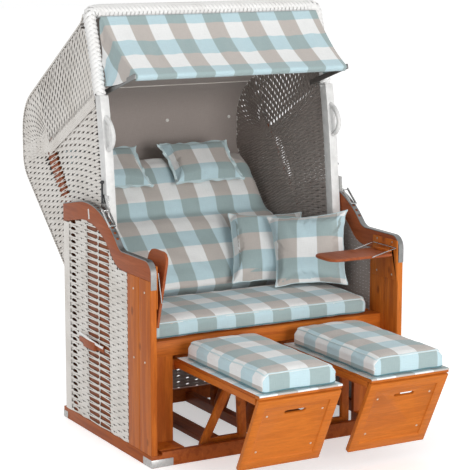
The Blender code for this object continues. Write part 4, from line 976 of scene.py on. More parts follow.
@dataclass
class HoodWall(Wall):
    """Wicker side of the hood: slanting rows with slots, a smooth band, steep strands and a rayed corner."""

    skin: float = 0.5240
    lining: float = 0.5070
    band_start: tuple[float, float] = (0.160, 1.327)
    band_end: tuple[float, float] = (0.585, 1.098)
    band_width: float = 0.040
    slot_first: tuple[float, float] = (0.565, 1.052)
    slot_step: tuple[float, float] = (-0.016617, -0.016617)
    slot_heading: float = -21.0
    slot_long: float = 0.158
    slot_short: float = 0.088
    slot_tall: float = 0.0128
    slot_count: int = 9
    front_first: float = 1.240
    front_pitch: float = 0.0270
    stake_pitch: float = 0.044
    steep_pitch: float = 0.01335
    steep_stake: float = 0.022
    fan_centre: tuple[float, float] = (0.572, 1.080)
    fan_count: int = 25
    fan_turn: float = 82.0
    slat_inner: float = 0.5092
    pairs: tuple[int, int] = (-5, 24)
    slot_bend: tuple[float, float] = (-0.3, 1.6)
    tail_heading: float = -19.5
    tail_turn: float = 0.35
    tail_long: float = 0.50
    bow: float = 0.006
    flow_reach: float = 0.40
    taper_front: float = 0.10
    taper_rear: float = 0.22
    post_at: float = 0.104
    post_lean: float = 0.14
    post_level: float = 1.1
    post_draw: float = 0.0012
    flow_rear: float = 0.598
    lead: int = 8
    ribs: int = 5
    steep_heading: float = 97.0
    steep_turn: float = 35.0
    steep_reach: tuple[float, float] = (-0.008, 0.52)
    fan_heading: float = 62.0
    fan_reach: tuple[float, float] = (0.012, 0.34)
    fan_least: float = 0.0046
    slit_draw: float = 0.0014
    slit_pull: float = 0.0016
    step: float = 0.0055
    weave: Crossing = field(default_factory=Crossing)
    front_line: tuple[tuple[float, float], ...] = (
        (0.092, 0.51), (0.052, 0.795), (0.0691, 0.9003), (0.0910, 1.1143), (0.1146, 1.2721),
        (0.1470, 1.4292), (0.1945, 1.5957))
    outline: tuple[tuple[float, float], ...] = (
        (0.2497, 1.6120), (0.7711, 1.2859), (0.7925, 1.2703), (0.8112, 1.2519), (0.8271, 1.2310),
        (0.8399, 1.2081), (0.8491, 1.1835), (0.8548, 1.1579), (0.8567, 1.1314), (0.8567, 1.0276),
        (0.8558, 1.0136), (0.8533, 1.0001), (0.8491, 0.9869), (0.8433, 0.9744), (0.8361, 0.9627),
        (0.8274, 0.9520), (0.8173, 0.9422), (0.2396, 0.4493), (0.1967, 0.4670), (0.1812, 0.4618),
        (0.1650, 0.4600), (0.1488, 0.4618), (0.1333, 0.4670), (0.1193, 0.4755), (0.1075, 0.4868),
        (0.0985, 0.5004), (0.0926, 0.5156), (0.0130, 0.7997), (0.0580, 0.7950), (0.0691, 0.9003),
        (0.0910, 1.1143), (0.1146, 1.2721), (0.1470, 1.4292), (0.1945, 1.5957), (0.2497, 1.5957))

    @property
    def band_long(self) -> float:
        """Length of the band."""
        return float(np.linalg.norm(np.subtract(self.band_end, self.band_start)))

    @property
    def band_along(self) -> np.ndarray:
        """Unit direction down the band."""
        return np.subtract(self.band_end, self.band_start) / self.band_long

    @property
    def band_up(self) -> np.ndarray:
        """Unit direction square to the band, upwards."""
        x, z = self.band_along
        return np.array([-z, x])

    def front_at(self, level: float) -> float:
        """Depth of the wall's front edge at a height."""
        depths, levels = zip(*self.front_line)
        return float(np.interp(level, levels, depths))

    def slot_line(self, number: float, count: int) -> np.ndarray:
        """The line of one slot, carried on to the front edge and past the rear edge.

        Args:
            number: the slot's number, below zero above the first.
            count: points in each of the line's three stretches.

        Returns:
            The points, depth and height a row.
        """
        share = min(max(number / (self.slot_count - 1), self.slot_bend[0]), self.slot_bend[1])
        long = self.slot_long + (self.slot_short - self.slot_long) * share
        centre = np.add(self.slot_first, np.multiply(self.slot_step, number))
        turn = math.radians(self.slot_heading)
        along = np.array([math.cos(turn), math.sin(turn)])
        start, end = centre - along * long / 2, centre + along * long / 2
        level = self.front_first - self.front_pitch * number
        head = np.array([self.front_at(level), level])
        lean = math.radians(self.tail_heading - self.tail_turn * number)
        tail = end + self.tail_long * np.array([math.cos(lean), math.sin(lean)])
        run = np.linspace(0, 1, count)[:, None]
        bow = np.array([0.0, self.bow]) * np.sin(math.pi * run)
        first = head + (start - head) * run + bow
        return np.concatenate([first[:-1], start + (end - start) * run[:-1], end + (tail - end) * run])

    def flow_rows(self, inset: float, step: float) -> list[Strand]:
        """The slanting rows under the band, paired round the open slots."""
        count = int(self.flow_reach / step)
        run = np.concatenate([np.linspace(0, 1, count)[:-1], 1 + np.linspace(0, 1, count)[:-1],
                              2 + np.linspace(0, 1, count)])
        slot = smooth_step((run - 1.0) / self.taper_front) * smooth_step((2.0 - run) / self.taper_rear)
        strands: list[Strand] = []
        for pair in range(*self.pairs):
            a, b = self.slot_line(pair, count), self.slot_line(pair + 1, count)
            gap = b - a
            size = np.linalg.norm(gap, axis=1, keepdims=True)
            across = gap / size
            size = size[:, 0]
            open_a, open_b = (self.slot_tall * slot * (0 <= k < self.slot_count) for k in (pair, pair + 1))
            spare = self.weave.slack
            half = (size - open_a / 2 - open_b / 2) / 4 - spare
            upper_line = a + across * (open_a / 2 + half + spare)[:, None]
            lower_line = b - across * (open_b / 2 + half + spare)[:, None]
            for number, middle in ((2 * pair, upper_line), (2 * pair + 1, lower_line)):
                place = middle[:, 0] - self.post_lean * (middle[:, 1] - self.post_level) - self.post_at
                phase = place / self.stake_pitch
                post = np.exp(-((phase / 0.35) ** 2)) * self.post_draw
                above = half - self.weave.dots(phase, number - 1) - post
                below = half - self.weave.dots(phase, number) - post
                beyond = (middle - np.array(self.band_start)) @ self.band_up
                clear = (beyond < 0.006 - self.band_width * (inset == 0)) | (middle[:, 0] > self.flow_rear)
                strands += self.laid(middle, across, above, below, phase, number, clear, inset)
        return strands

    def steep_rows(self, inset: float, step: float) -> list[Strand]:
        """The steep strands above the band and the rays round the rear corner."""
        strands: list[Strand] = []
        total = int(self.band_long / self.steep_pitch) + self.lead
        for number in range(total + self.fan_count):
            if number <= total:
                along_band = number - self.lead
                root = np.array(self.band_start) + self.band_along * self.steep_pitch * along_band
                share = min(max(along_band / (total - self.lead), 0), 1)
                heading = math.radians(self.steep_heading - self.steep_turn * share ** 1.6)
                runs = np.arange(*self.steep_reach, step)
                half = np.full(len(runs), self.steep_pitch / 2 - self.weave.slack)
                half *= 1 + 0.10 * share * smooth_step(runs / 0.25)
                slit = smooth_step((runs - 0.002) / 0.006) * smooth_step((0.036 - runs) / 0.008)
            else:
                root = np.array(self.fan_centre)
                share = (number - total) / self.fan_count
                heading = math.radians(self.fan_heading - self.fan_turn * share)
                runs = np.arange(*self.fan_reach, step)
                spoke = runs * math.radians(self.fan_turn) / self.fan_count / 2
                half = np.maximum(spoke - self.weave.slack / 2, self.fan_least - runs * 0.01)
                slit = runs * 0
            along = np.array([math.cos(heading), math.sin(heading)])
            across = np.array([[math.sin(heading), -math.cos(heading)]])
            phase = runs / self.steep_stake - 0.75
            pull = slit * self.slit_pull * (1 if number % 2 else -1)
            middle = root + along * runs[:, None] + across * pull[:, None]
            half = half - slit * self.slit_draw
            small = 0.6 * smooth_step((half - 0.0053) / 0.001) if number > total else 1.6 - 1.1 * (inset > 0)
            above = half - self.weave.dots(phase, number - 1) * small * 1.15
            below = half - self.weave.dots(phase, number) * small * 1.15
            beyond = (middle - np.array(self.band_start)) @ self.band_up
            clear = (beyond > -0.010 - self.band_width * 0.3 * (inset > 0)) | (number > total)
            sides = np.repeat(across, len(runs), axis=0)
            strands += self.laid(middle, sides, above, below, phase, number, clear, inset)
        return strands

    def laid(self, middle: np.ndarray, across: np.ndarray, above: np.ndarray, below: np.ndarray,
             phase: np.ndarray, number: int, clear: np.ndarray, inset: float) -> list[Strand]:
        """Cut a flat strand to the wall's outline and stand it at the wall.

        Args:
            middle: middle line, depth and height a row.
            across: direction over the strand at each point, downwards.
            above: half width against that direction.
            below: half width along it.
            phase: place along the strand, whole at each stake.
            number: number of the strand.
            clear: which points its own zone allows.
            inset: how far the layer lies inside the outer one.

        Returns:
            The stretches that lie inside.
        """
        held = inside(middle, self.outline) & clear
        made: list[Strand] = []
        if held.sum() < 3:
            return made
        edges = np.flatnonzero(np.diff(np.concatenate([[0], held.astype(int), [0]])))
        out = self.side * (self.skin - inset + self.weave.lift(phase, number))
        for first, last in zip(edges[::2], edges[1::2]):
            if last - first < 3:
                continue
            part = slice(first, last)
            places = np.column_stack([out[part], middle[part]])
            up = np.column_stack([np.zeros(last - first), -across[part] * above[part, None]])
            down = np.column_stack([np.zeros(last - first), across[part] * below[part, None]])
            made.append(Strand(places, up, down, self.facing, 0.0013))
        return made

    def band(self) -> list[Strand]:
        """The smooth band of wrapped strands, with its fine lengthwise ribs."""
        wide = self.band_width / self.ribs
        runs = np.linspace(-0.030, self.band_long + 0.006, 60)
        made: list[Strand] = []
        for k in range(self.ribs):
            away = -(k + 0.5) * wide
            flat = np.array(self.band_start) + self.band_along * runs[:, None] + self.band_up * away
            flat = flat[inside(flat, self.outline)]
            places = np.column_stack([np.full(len(flat), self.side * (self.skin + 0.0042)), flat])
            over = np.array([0.0, *(self.band_up * (wide / 2 - 0.0001))])
            made.append(Strand(places, over, -over, self.facing, 0.0014))
        return made

    def slat(self) -> bpy.types.Object:
        """The wood slat that shows behind the slots, rounded at its lower end.

        Returns:
            The slat.
        """
        thing = own_copy(f"hood_lining_{self.name}", f"hood_slat_{self.name}")
        with editing(thing):
            bpy.ops.mesh.bisect(plane_co=(self.side * self.slat_inner, 0, 0), plane_no=(self.side, 0, 0),
                                use_fill=True, clear_inner=True, threshold=0.00001)
        return thing

    def build(self) -> None:
        """Weave the wall's two layers, its band and the slat behind the slots."""
        rows = self.flow_rows(0.0, self.step) + self.steep_rows(0.0, self.step) + self.band()
        woven(f"hood_weave_{self.name}", rows, STRAND_WHITE, "hood", f"hood_wall_{self.name}")
        coarse = self.step * 1.8
        deep = self.skin - self.lining
        back = replace(self, weave=self.weave.closer(), slot_tall=0.0)
        rows = back.flow_rows(deep, coarse) + back.steep_rows(deep, coarse)
        inner = woven(f"hood_weave_inner_{self.name}", rows, STRAND_TAUPE, "hood", f"hood_lining_{self.name}")
        # The inner layer's outward faces get painted shade, the shadow between the two layers.
        shaded(inner, STRAND_PAINTED_SHADE, self.side)
        slat = self.slat()
        dress(slat, TIMBER_ARM, "hood")
        shaded(slat, STRAND_TAUPE, -self.side)


def resampled(path: Sequence[tuple[float, float]], step: float) -> tuple[np.ndarray, np.ndarray]:
    """Even points along a path, eased at its corners, with the unit normal at each.

    Args:
        path: corner points, depth and height.
        step: distance between points.

    Returns:
        The points and the outward normals.
    """
    line = np.array(path)
    gaps = np.linalg.norm(np.diff(line, axis=0), axis=1)
    places = np.concatenate([[0], np.cumsum(gaps)])
    count = int(places[-1] / step)
    runs = np.linspace(0, places[-1], count + 1)
    points = np.column_stack([np.interp(runs, places, line[:, k]) for k in (0, 1)])
    for _ in range(3):
        points[1:-1] = (points[:-2] + 2 * points[1:-1] + points[2:]) / 4
    along = np.gradient(points, axis=0)
    along /= np.linalg.norm(along, axis=1, keepdims=True)
    return points, np.column_stack([-along[:, 1], along[:, 0]])


SHELL_PATH: tuple[tuple[float, float], ...] = (
    (0.2350, 1.6550), (0.2500, 1.6216), (0.7757, 1.2928), (0.7979, 1.2766), (0.8175, 1.2574),
    (0.8341, 1.2356), (0.8474, 1.2116), (0.8571, 1.1859), (0.8630, 1.1591), (0.8650, 1.1317),
    (0.8650, 1.0274), (0.8641, 1.0126), (0.8614, 0.9980), (0.8569, 0.9839), (0.8507, 0.9705),
    (0.8428, 0.9579), (0.8335, 0.9464), (0.8229, 0.9361), (0.2450, 0.4430))


@dataclass
class HoodShell:
    """Roof and back of the hood: rows that run over the whole width and wrap round both edges."""

    half: float = 0.5245
    pitch: float = 0.01335
    stake_pitch: float = 0.0437
    step: float = 0.0075
    split: float = 0.47
    turns: tuple[tuple[float, float, float], ...] = (
        (0.0022, -0.0026, 0.7), (0.0036, -0.0070, 1.0), (0.0036, -0.012, 1.0))
    weave: Crossing = field(default_factory=Crossing)

    def strands(self, centres: np.ndarray, normals: np.ndarray) -> list[Strand]:
        """Rows of the shell, each wrapped round both side edges.

        Args:
            centres: depth and height of each row.
            normals: outward direction at each row.

        Returns:
            The rows.
        """
        xs = np.arange(-self.half, self.half + self.step / 2, self.step)
        made: list[Strand] = []
        for number, (centre, normal) in enumerate(zip(centres, normals)):
            phase = xs / self.stake_pitch
            lift = -0.0030 + self.weave.lift(phase, number)
            near_edge = smooth_step((np.abs(xs) - self.half + 0.02) / 0.02)
            lift = lift * (1 - near_edge) - 0.0015 * near_edge
            half = self.pitch / 2 - self.weave.slack
            above = half - self.weave.dots(phase, number) * (1 - near_edge)
            below = half - self.weave.dots(phase, number - 1) * (1 - near_edge)
            along = np.array([0.0, normal[1], -normal[0]])
            out = np.array([0.0, normal[0], normal[1]])
            base = np.array([0.0, centre[0], centre[1]])
            line = base + xs[:, None] * np.array([1.0, 0, 0]) + lift[:, None] * out
            face = np.tile(out, (len(xs), 1))
            tail = np.array([base + np.array([self.half + x, 0, 0]) + y * out for x, y, _ in self.turns])
            tail_face = np.array([out * (1 - s) + np.array([1.0, 0, 0]) * s for _, _, s in self.turns])
            mirror = np.array([-1.0, 1, 1])
            head, head_face = tail[::-1] * mirror, tail_face[::-1] * mirror
            middle = np.concatenate([head, line, tail])
            faces = np.concatenate([head_face, face, tail_face])
            faces /= np.linalg.norm(faces, axis=1, keepdims=True)
            edge = np.full(3, half * 0.92)
            above = np.concatenate([edge, above, edge])[:, None]
            below = np.concatenate([edge, below, edge])[:, None]
            made.append(Strand(middle, above * along, -below * along, faces, 0.0014))
        return made

    def build(self) -> None:
        """Weave the roof and the back."""
        centres, normals = resampled(SHELL_PATH, self.pitch)
        rows = self.strands(centres[1:-1], normals[1:-1])
        split = int(len(rows) * self.split)
        woven("hood_roof_weave", rows[:split], STRAND_WHITE, "hood")
        woven("hood_back_weave", rows[split:], STRAND_WHITE, "hood", "hood_shell")


@dataclass
class ShellLining:
    """Taupe cloth lining of the roof and back, with a piped seam over the back and pale buttons."""

    half: float = 0.5060
    deep: float = 0.0086
    thick: float = 0.0035
    columns: int = 48
    seam: tuple[float, float] = (0.729, 1.287)
    buttons: tuple[float, ...] = (-0.48, -0.16, 0.16, 0.48)
    button_level: float = 1.137

    def sheet(self) -> bpy.types.Object:
        """The lining as a closed thin skin with its chart in metres.

        Returns:
            The lining.
        """
        points, normals = resampled(SHELL_PATH, 0.02)
        xs = np.linspace(-self.half, self.half, self.columns + 1)
        lines = points - normals * self.deep
        grid = np.array([[(x, y, z) for x in xs] for y, z in lines])
        rows, wide = grid.shape[:2]
        thing = from_arrays("hood_lining_cloth", grid.reshape(-1, 3), grid_quads(rows, wide))
        runs = np.concatenate([[0], np.cumsum(np.linalg.norm(np.diff(lines, axis=0), axis=1))])
        chart = {(i, j): (xs[j], runs[i]) for i in range(rows) for j in range(wide)}
        layer = thing.data.uv_layers.new(name="cloth")
        for loop in thing.data.loops:
            layer.data[loop.index].uv = chart[divmod(loop.vertex_index, wide)]
        apply(thing, "SOLIDIFY", thickness=self.thick, offset=0.0)
        return thing

    def build(self) -> None:
        """Make the lining, its seam and its buttons."""
        lining = self.sheet()
        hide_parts("hood_shell_lining")
        dress(lining, LINING, "hood", 60)
        points, normals = resampled(SHELL_PATH, 0.004)
        inner = points - normals * (self.deep + self.thick / 2 + 0.001)
        at = int(np.argmin(np.linalg.norm(inner - np.array(self.seam), axis=1)))
        y, z = inner[at]
        end = self.half - 0.004
        cord = tube("lining_seam", [(x, y, z) for x in np.linspace(-end, end, 30)], 0.0022)
        dress(cord, STRAND_WHITE, "hood", 60)
        held = np.flatnonzero(points[:, 0] > 0.7)
        at = held[int(np.argmin(np.abs(points[held][:, 1] - self.button_level)))]
        y, z = points[at] - normals[at] * (self.deep + self.thick / 2 + 0.0015)
        axis = (0.0, -normals[at][0], -normals[at][1])
        knobs = [turned("button", (x * 0.97, y, z), axis, 0.0075, 0.004) for x in self.buttons]
        dress(merged(knobs, "lining_buttons"), BUTTON, "hood")


@dataclass
class BraidedEdge:
    """Chunky braid over the arch and down the front edge of both walls."""

    wide: float = 0.034
    narrow: float = 0.021
    deep: float = 0.019
    stitch: float = 0.0180
    slant: float = 0.026
    thick: float = 0.0042
    middle: Point = (0.0, 0.42, 1.25)
    half_line: tuple[tuple[float, float, float], ...] = (
        (0.512, 0.115, 1.330), (0.512, 0.138, 1.44), (0.513, 0.173, 1.56), (0.514, 0.200, 1.640),
        (0.508, 0.208, 1.656), (0.470, 0.213, 1.659))

    def line(self) -> np.ndarray:
        """Middle line of the braid, from the left foot over the arch to the right foot."""
        left = [(-x, y, z) for x, y, z in self.half_line]
        path = np.array(left + list(self.half_line[::-1]))
        gaps = np.linalg.norm(np.diff(path, axis=0), axis=1)
        places = np.concatenate([[0], np.cumsum(gaps)])
        runs = np.arange(0, places[-1], self.stitch / 3)
        points = np.column_stack([np.interp(runs, places, path[:, k]) for k in range(3)])
        for _ in range(5):
            points[1:-1] = (points[:-2] + 2 * points[1:-1] + points[2:]) / 4
        return points

    def build(self) -> None:
        """Wrap slanting stitches round the line, each over the one before, in two courses."""
        line = self.line()
        along = np.gradient(line, axis=0)
        along /= np.linalg.norm(along, axis=1, keepdims=True)
        outward = line - np.array(self.middle)
        outward -= (outward * along).sum(axis=1, keepdims=True) * along
        outward /= np.linalg.norm(outward, axis=1, keepdims=True)
        across = np.cross(along, outward)
        widths = self.narrow + (self.wide - self.narrow) * np.abs(along[:, 0]) ** 2
        turns = np.radians(np.linspace(-150, 150, 15))
        strands: list[Strand] = []
        shift = int(round(self.slant / (self.stitch / 3)))
        for course in (-1, 1):
            for start in range(shift, len(line) - shift - 1, 3):
                lean = np.sin(turns * 0.6) * shift * course
                at = np.clip(start + lean + (1.5 if course > 0 else 0), 0, len(line) - 1)
                low = np.floor(at).astype(int)
                mix = (at - low)[:, None]
                high = np.minimum(low + 1, len(line) - 1)
                centre = line[low] * (1 - mix) + line[high] * mix
                ridge = 1.0 + 0.16 * course * np.cos(turns * 2)
                out = outward[low] * np.cos(turns)[:, None]
                side = across[low] * np.sin(turns)[:, None]
                wide = widths[low][:, None]
                places = centre + out * (self.deep * ridge)[:, None] + side * wide * ridge[:, None]
                facing = out / self.deep + side / wide
                facing /= np.linalg.norm(facing, axis=1, keepdims=True)
                path = np.gradient(places, axis=0)
                path /= np.linalg.norm(path, axis=1, keepdims=True)
                wing = np.cross(path, facing) * self.stitch * 0.43
                strands.append(Strand(places, wing, -wing, facing, self.thick))
        woven("arch_braid", strands, BRAID_WHITE, "hood")


# Soft goods


def rows_of(items: bpy.types.bpy_prop_collection, key: str) -> np.ndarray:
    """A vector of each mesh item, one a row."""
    held = np.empty(len(items) * 3)
    items.foreach_get(key, held)
    return held.reshape(-1, 3)


def counts_of(items: bpy.types.bpy_prop_collection, key: str) -> np.ndarray:
    """A whole number of each mesh item."""
    held = np.empty(len(items), dtype=np.int32)
    items.foreach_get(key, held)
    return held


@dataclass
class Chart:
    """Directions that a cloth pattern is laid on: across, along and out of the face, from a middle point."""

    middle: Point
    across: Point
    along: Point
    top: float = 0.0
    start_u: float = 0.0
    start_v: float = 0.0
    steep: float = 0.75

    def lay(self, thing: bpy.types.Object) -> None:
        """Give a piece a chart in metres that runs on over its edges.

        Args:
            thing: the piece.
        """
        mesh = thing.data
        u_axis, v_axis = np.array(self.across, float), np.array(self.along, float)
        w_axis = np.cross(u_axis, v_axis)
        places = rows_of(mesh.vertices, "co") - np.array(self.middle)
        normals = rows_of(mesh.polygons, "normal")
        owner = np.repeat(np.arange(len(normals)), counts_of(mesh.polygons, "loop_total"))
        points = places[counts_of(mesh.loops, "vertex_index")]
        turn_u, turn_v = (normals @ u_axis)[owner], (normals @ v_axis)[owner]
        u, v, w = points @ u_axis, points @ v_axis, points @ w_axis
        drop = self.top - w
        over_v = (np.abs(turn_v) > self.steep) & (np.abs(turn_v) >= np.abs(turn_u))
        over_u = (np.abs(turn_u) > self.steep) & ~over_v
        v = np.where(over_v, v + np.sign(turn_v) * drop, v)
        u = np.where(over_u, u + np.sign(turn_u) * drop, u)
        layer = mesh.uv_layers.new(name="cloth") if not mesh.uv_layers else mesh.uv_layers[0]
        chart = np.column_stack([u + self.start_u, v + self.start_v])
        layer.data.foreach_set("uv", chart.astype(np.float32).ravel())


@dataclass
class SoftForm:
    """How a frame's soft solid is filled: mesh fineness, pressure, and the most that a point may move."""

    voxel: float
    shrink: float = 0.004
    pressure: float = 4.0
    cap: float = 0.010
    floor: float | None = None
    wrinkle: float = 0.0015
    fill: float = 0.7
    frames: int = 20

    def start(self, node: str, name: str) -> bpy.types.Object:
        """A remeshed, slightly smaller copy of the node.

        Args:
            node: the frame node.
            name: name of the piece.

        Returns:
            The piece.
        """
        thing = linked(name, frame["nodes"][node].data.copy())
        apply(thing, "REMESH", mode="VOXEL", voxel_size=self.voxel)
        apply(thing, "SMOOTH", factor=0.5, iterations=6)
        apply(thing, "DISPLACE", direction="NORMAL", strength=-self.shrink, mid_level=0.0)
        return thing

    def blow(self, thing: bpy.types.Object) -> None:
        """Fill the piece by cloth simulation, within the cap.

        Args:
            thing: the piece.
        """
        before = rows_of(thing.data.vertices, "co")
        cloth = thing.modifiers.new("cloth", "CLOTH")
        for key, value in (("quality", 4), ("mass", 0.3), ("use_pressure", True),
                           ("uniform_pressure_force", self.pressure), ("tension_stiffness", 12),
                           ("compression_stiffness", 10), ("bending_stiffness", 0.3)):
            setattr(cloth.settings, key, value)
        cloth.settings.effector_weights.gravity = 0.0
        cloth.collision_settings.use_collision = False
        scene = bpy.context.scene
        for step in range(1, self.frames + 1):
            scene.frame_set(step)
        shown = thing.evaluated_get(bpy.context.evaluated_depsgraph_get())
        move = rows_of(shown.data.vertices, "co") - before
        thing.modifiers.remove(cloth)
        scene.frame_set(1)
        size = np.linalg.norm(move, axis=1, keepdims=True)
        move *= np.minimum(1.0, self.cap / np.maximum(size, 1e-9))
        self.settle(thing, before + move)

    def settle(self, thing: bpy.types.Object, places: np.ndarray) -> None:
        """Set the points, with small folds in the cloth, and nothing under what it rests on.

        Args:
            thing: the piece.
            places: the points wanted.
        """
        x, y, z = places.T
        fold = np.sin(31 * x + 17 * y + 23 * z + 2 * np.sin(19 * y - 13 * x))
        fold *= np.sin(43 * y - 29 * z + 1.7 * np.sin(23 * x + 11 * z))
        places = places + rows_of(thing.data.vertices, "normal") * (fold * self.wrinkle)[:, None]
        if self.floor is not None:
            places[:, 2] = np.maximum(places[:, 2], self.floor)
        thing.data.vertices.foreach_set("co", places.ravel())
        thing.data.update()

    def make(self, node: str, name: str) -> bpy.types.Object:
        """The filled and smoothed piece that stands for a node.

        Args:
            node: the frame node.
            name: name of the piece.

        Returns:
            The piece.
        """
        thing = self.start(node, name)
        self.blow(thing)
        apply(thing, "SUBSURF", levels=1, render_levels=1)
        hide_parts(node)
        return thing


def ridge_loop(thing: bpy.types.Object, points: Sequence[Vector], proud: float) -> list[Vector]:
    """Bring a loop of points onto a piece's surface.

    Args:
        thing: the piece.
        points: points outside it.
        proud: how far off the surface they end.

    Returns:
        The points on the surface.
    """
    made: list[Vector] = []
    for point in points:
        found, place, normal, _ = thing.closest_point_on_mesh(point)
        made.append(place + normal * proud if found else Vector(point))
    for _ in range(2):
        made = [(made[k - 1] + made[k] * 2 + made[(k + 1) % len(made)]) / 4 for k in range(len(made))]
    return made


def box_loop(low: Vector, high: Vector, level: float, count: int = 160) -> list[Vector]:
    """A rectangle's outline at a level, in even steps."""
    corners = [(low.x, low.y), (high.x, low.y), (high.x, high.y), (low.x, high.y)]
    made: list[Vector] = []
    for k, a in enumerate(corners):
        b = corners[(k + 1) % 4]
        for step in range(count // 4):
            share = step / (count // 4)
            made.append(Vector((a[0] + (b[0] - a[0]) * share, a[1] + (b[1] - a[1]) * share, level)))
    return made


@dataclass
class BoxCushions:
    """Seat cushion and the two footrest cushions: boxed, crowned and piped along their edges."""

    cord: float = 0.0028
    squashed: float = 0.06
    seat_start: tuple[float, float] = (0.0, 0.0)
    foot_start: tuple[float, float] = (0.0, 0.083)
    deck_start: tuple[float, float] = (0.04, 0.03)
    overhang: float = 0.002
    edge: float = 0.001
    hem: float = 0.0060

    def one(self, node: str, name: str, body: str, voxel: float,
            start: tuple[float, float]) -> list[bpy.types.Object]:
        """Make one boxed cushion with its piping.

        Args:
            node: the frame node.
            name: name of the piece.
            body: the body it rides on.
            voxel: fineness of its mesh.
            start: shift of the check, across and along.

        Returns:
            The cushion, and then its cords.
        """
        low, high = (Vector(c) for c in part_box(node))
        thing = SoftForm(voxel, 0.003, cap=0.007, floor=low.z, fill=0.85).make(node, name)
        middle = ((low.x + high.x) / 2, (low.y + high.y) / 2, 0)
        Chart(middle, (1, 0, 0), (0, 1, 0), high.z, *start).lay(thing)
        pieces = [thing]
        for place, level, finish in (("top", high.z + 0.008, PIPING), ("foot", low.z, EDGING)):
            loop = ridge_loop(thing, box_loop(low, high, level), 0.0006)
            if place == "foot":
                loop = [Vector((p.x, p.y, max(p.z, low.z + self.cord))) for p in loop]
            cord = tube(f"{name}_cord_{place}", loop, self.cord, closed=True)
            Chart(middle, (1, 0, 0), (0, 1, 0)).lay(cord)
            dress(cord, finish, body, 80)
            pieces.append(cord)
        dress(thing, CHECK, body, 80)
        return pieces

    def deck_cloth(self, name: str, front: float) -> None:
        """The check cloth stretched over a footrest's deck, and the batten that its hem is tacked to.

        Args:
            name: left or right.
            front: depth of the cushion's front.
        """
        deck_low, deck_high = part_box(f"footrest_deck_{name}")
        x0, x1 = deck_low[0] - self.edge, deck_high[0] + self.edge
        y0, y1 = min(deck_low[1], front) - self.overhang, deck_high[1] + self.edge
        xs, ys = np.linspace(x0, x1, 24), np.linspace(y0, y1, 40)
        ripple = 0.0005 * np.sin(ys[:, None] * 70) * np.cos(xs[None, :] * 50)
        across, along = np.meshgrid(xs, ys)
        grid = np.stack([across, along, deck_high[2] + 0.0016 + ripple], axis=-1)
        across, level = np.meshgrid(xs, deck_high[2] - np.array([0.0040, 0.0020, 0.0]))
        hem = np.stack([across, np.full_like(across, y0 - 0.0004), level], axis=-1)
        grid = np.concatenate([hem, grid])
        cloth = from_arrays(f"deck_cloth_{name}", grid.reshape(-1, 3), grid_quads(*grid.shape[:2]))
        apply(cloth, "SOLIDIFY", thickness=0.0012, offset=0.0)
        Chart((0, 0, 0), (1, 0, 0), (0, 1, 0), 0.0, *self.deck_start).lay(cloth)
        dress(cloth, CHECK, f"footrest_{name}", 60)
        panel_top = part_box(f"footrest_panel_{name}")[1][2]
        low = Vector((deck_low[0], y0 + 0.0012, panel_top + 0.0005))
        high = Vector((deck_high[0], deck_low[1] - 0.0005, deck_high[2] - 0.0006))
        batten = from_arrays(f"deck_batten_{name}", *block(low, high))
        apply(batten, "BEVEL", width=0.0015, segments=2)
        dress(batten, TIMBER_WIDE, f"footrest_{name}")

    def build(self) -> None:
        """Make the seat cushion and both footrest cushions."""
        self.one("seat_cushion", "seat_pad", "base", 0.009, self.seat_start)
        for name, _ in SIDES:
            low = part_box(f"foot_cushion_{name}")[0]
            pieces = self.one(f"foot_cushion_{name}", f"foot_pad_{name}", f"footrest_{name}", 0.0075,
                              self.foot_start)
            self.deck_cloth(name, low[1])
            for piece in pieces:
                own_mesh(piece)


BACK_LEAN = 49.4


@dataclass
class BackCushion:
    """Tall back cushion in two swells with a sewn channel between."""

    def build(self) -> None:
        """Make the cushion, charted along its slope."""
        thing = SoftForm(0.010, 0.003, cap=0.010, fill=0.7, wrinkle=0.0025).make("back_cushion", "back_pad")
        lean = math.radians(BACK_LEAN)
        along = (0.0, math.sin(lean), math.cos(lean))
        Chart((0, 0.2, 0.5), (1, 0, 0), along, 0.08).lay(thing)
        dress(thing, CHECK, "hood", 80)


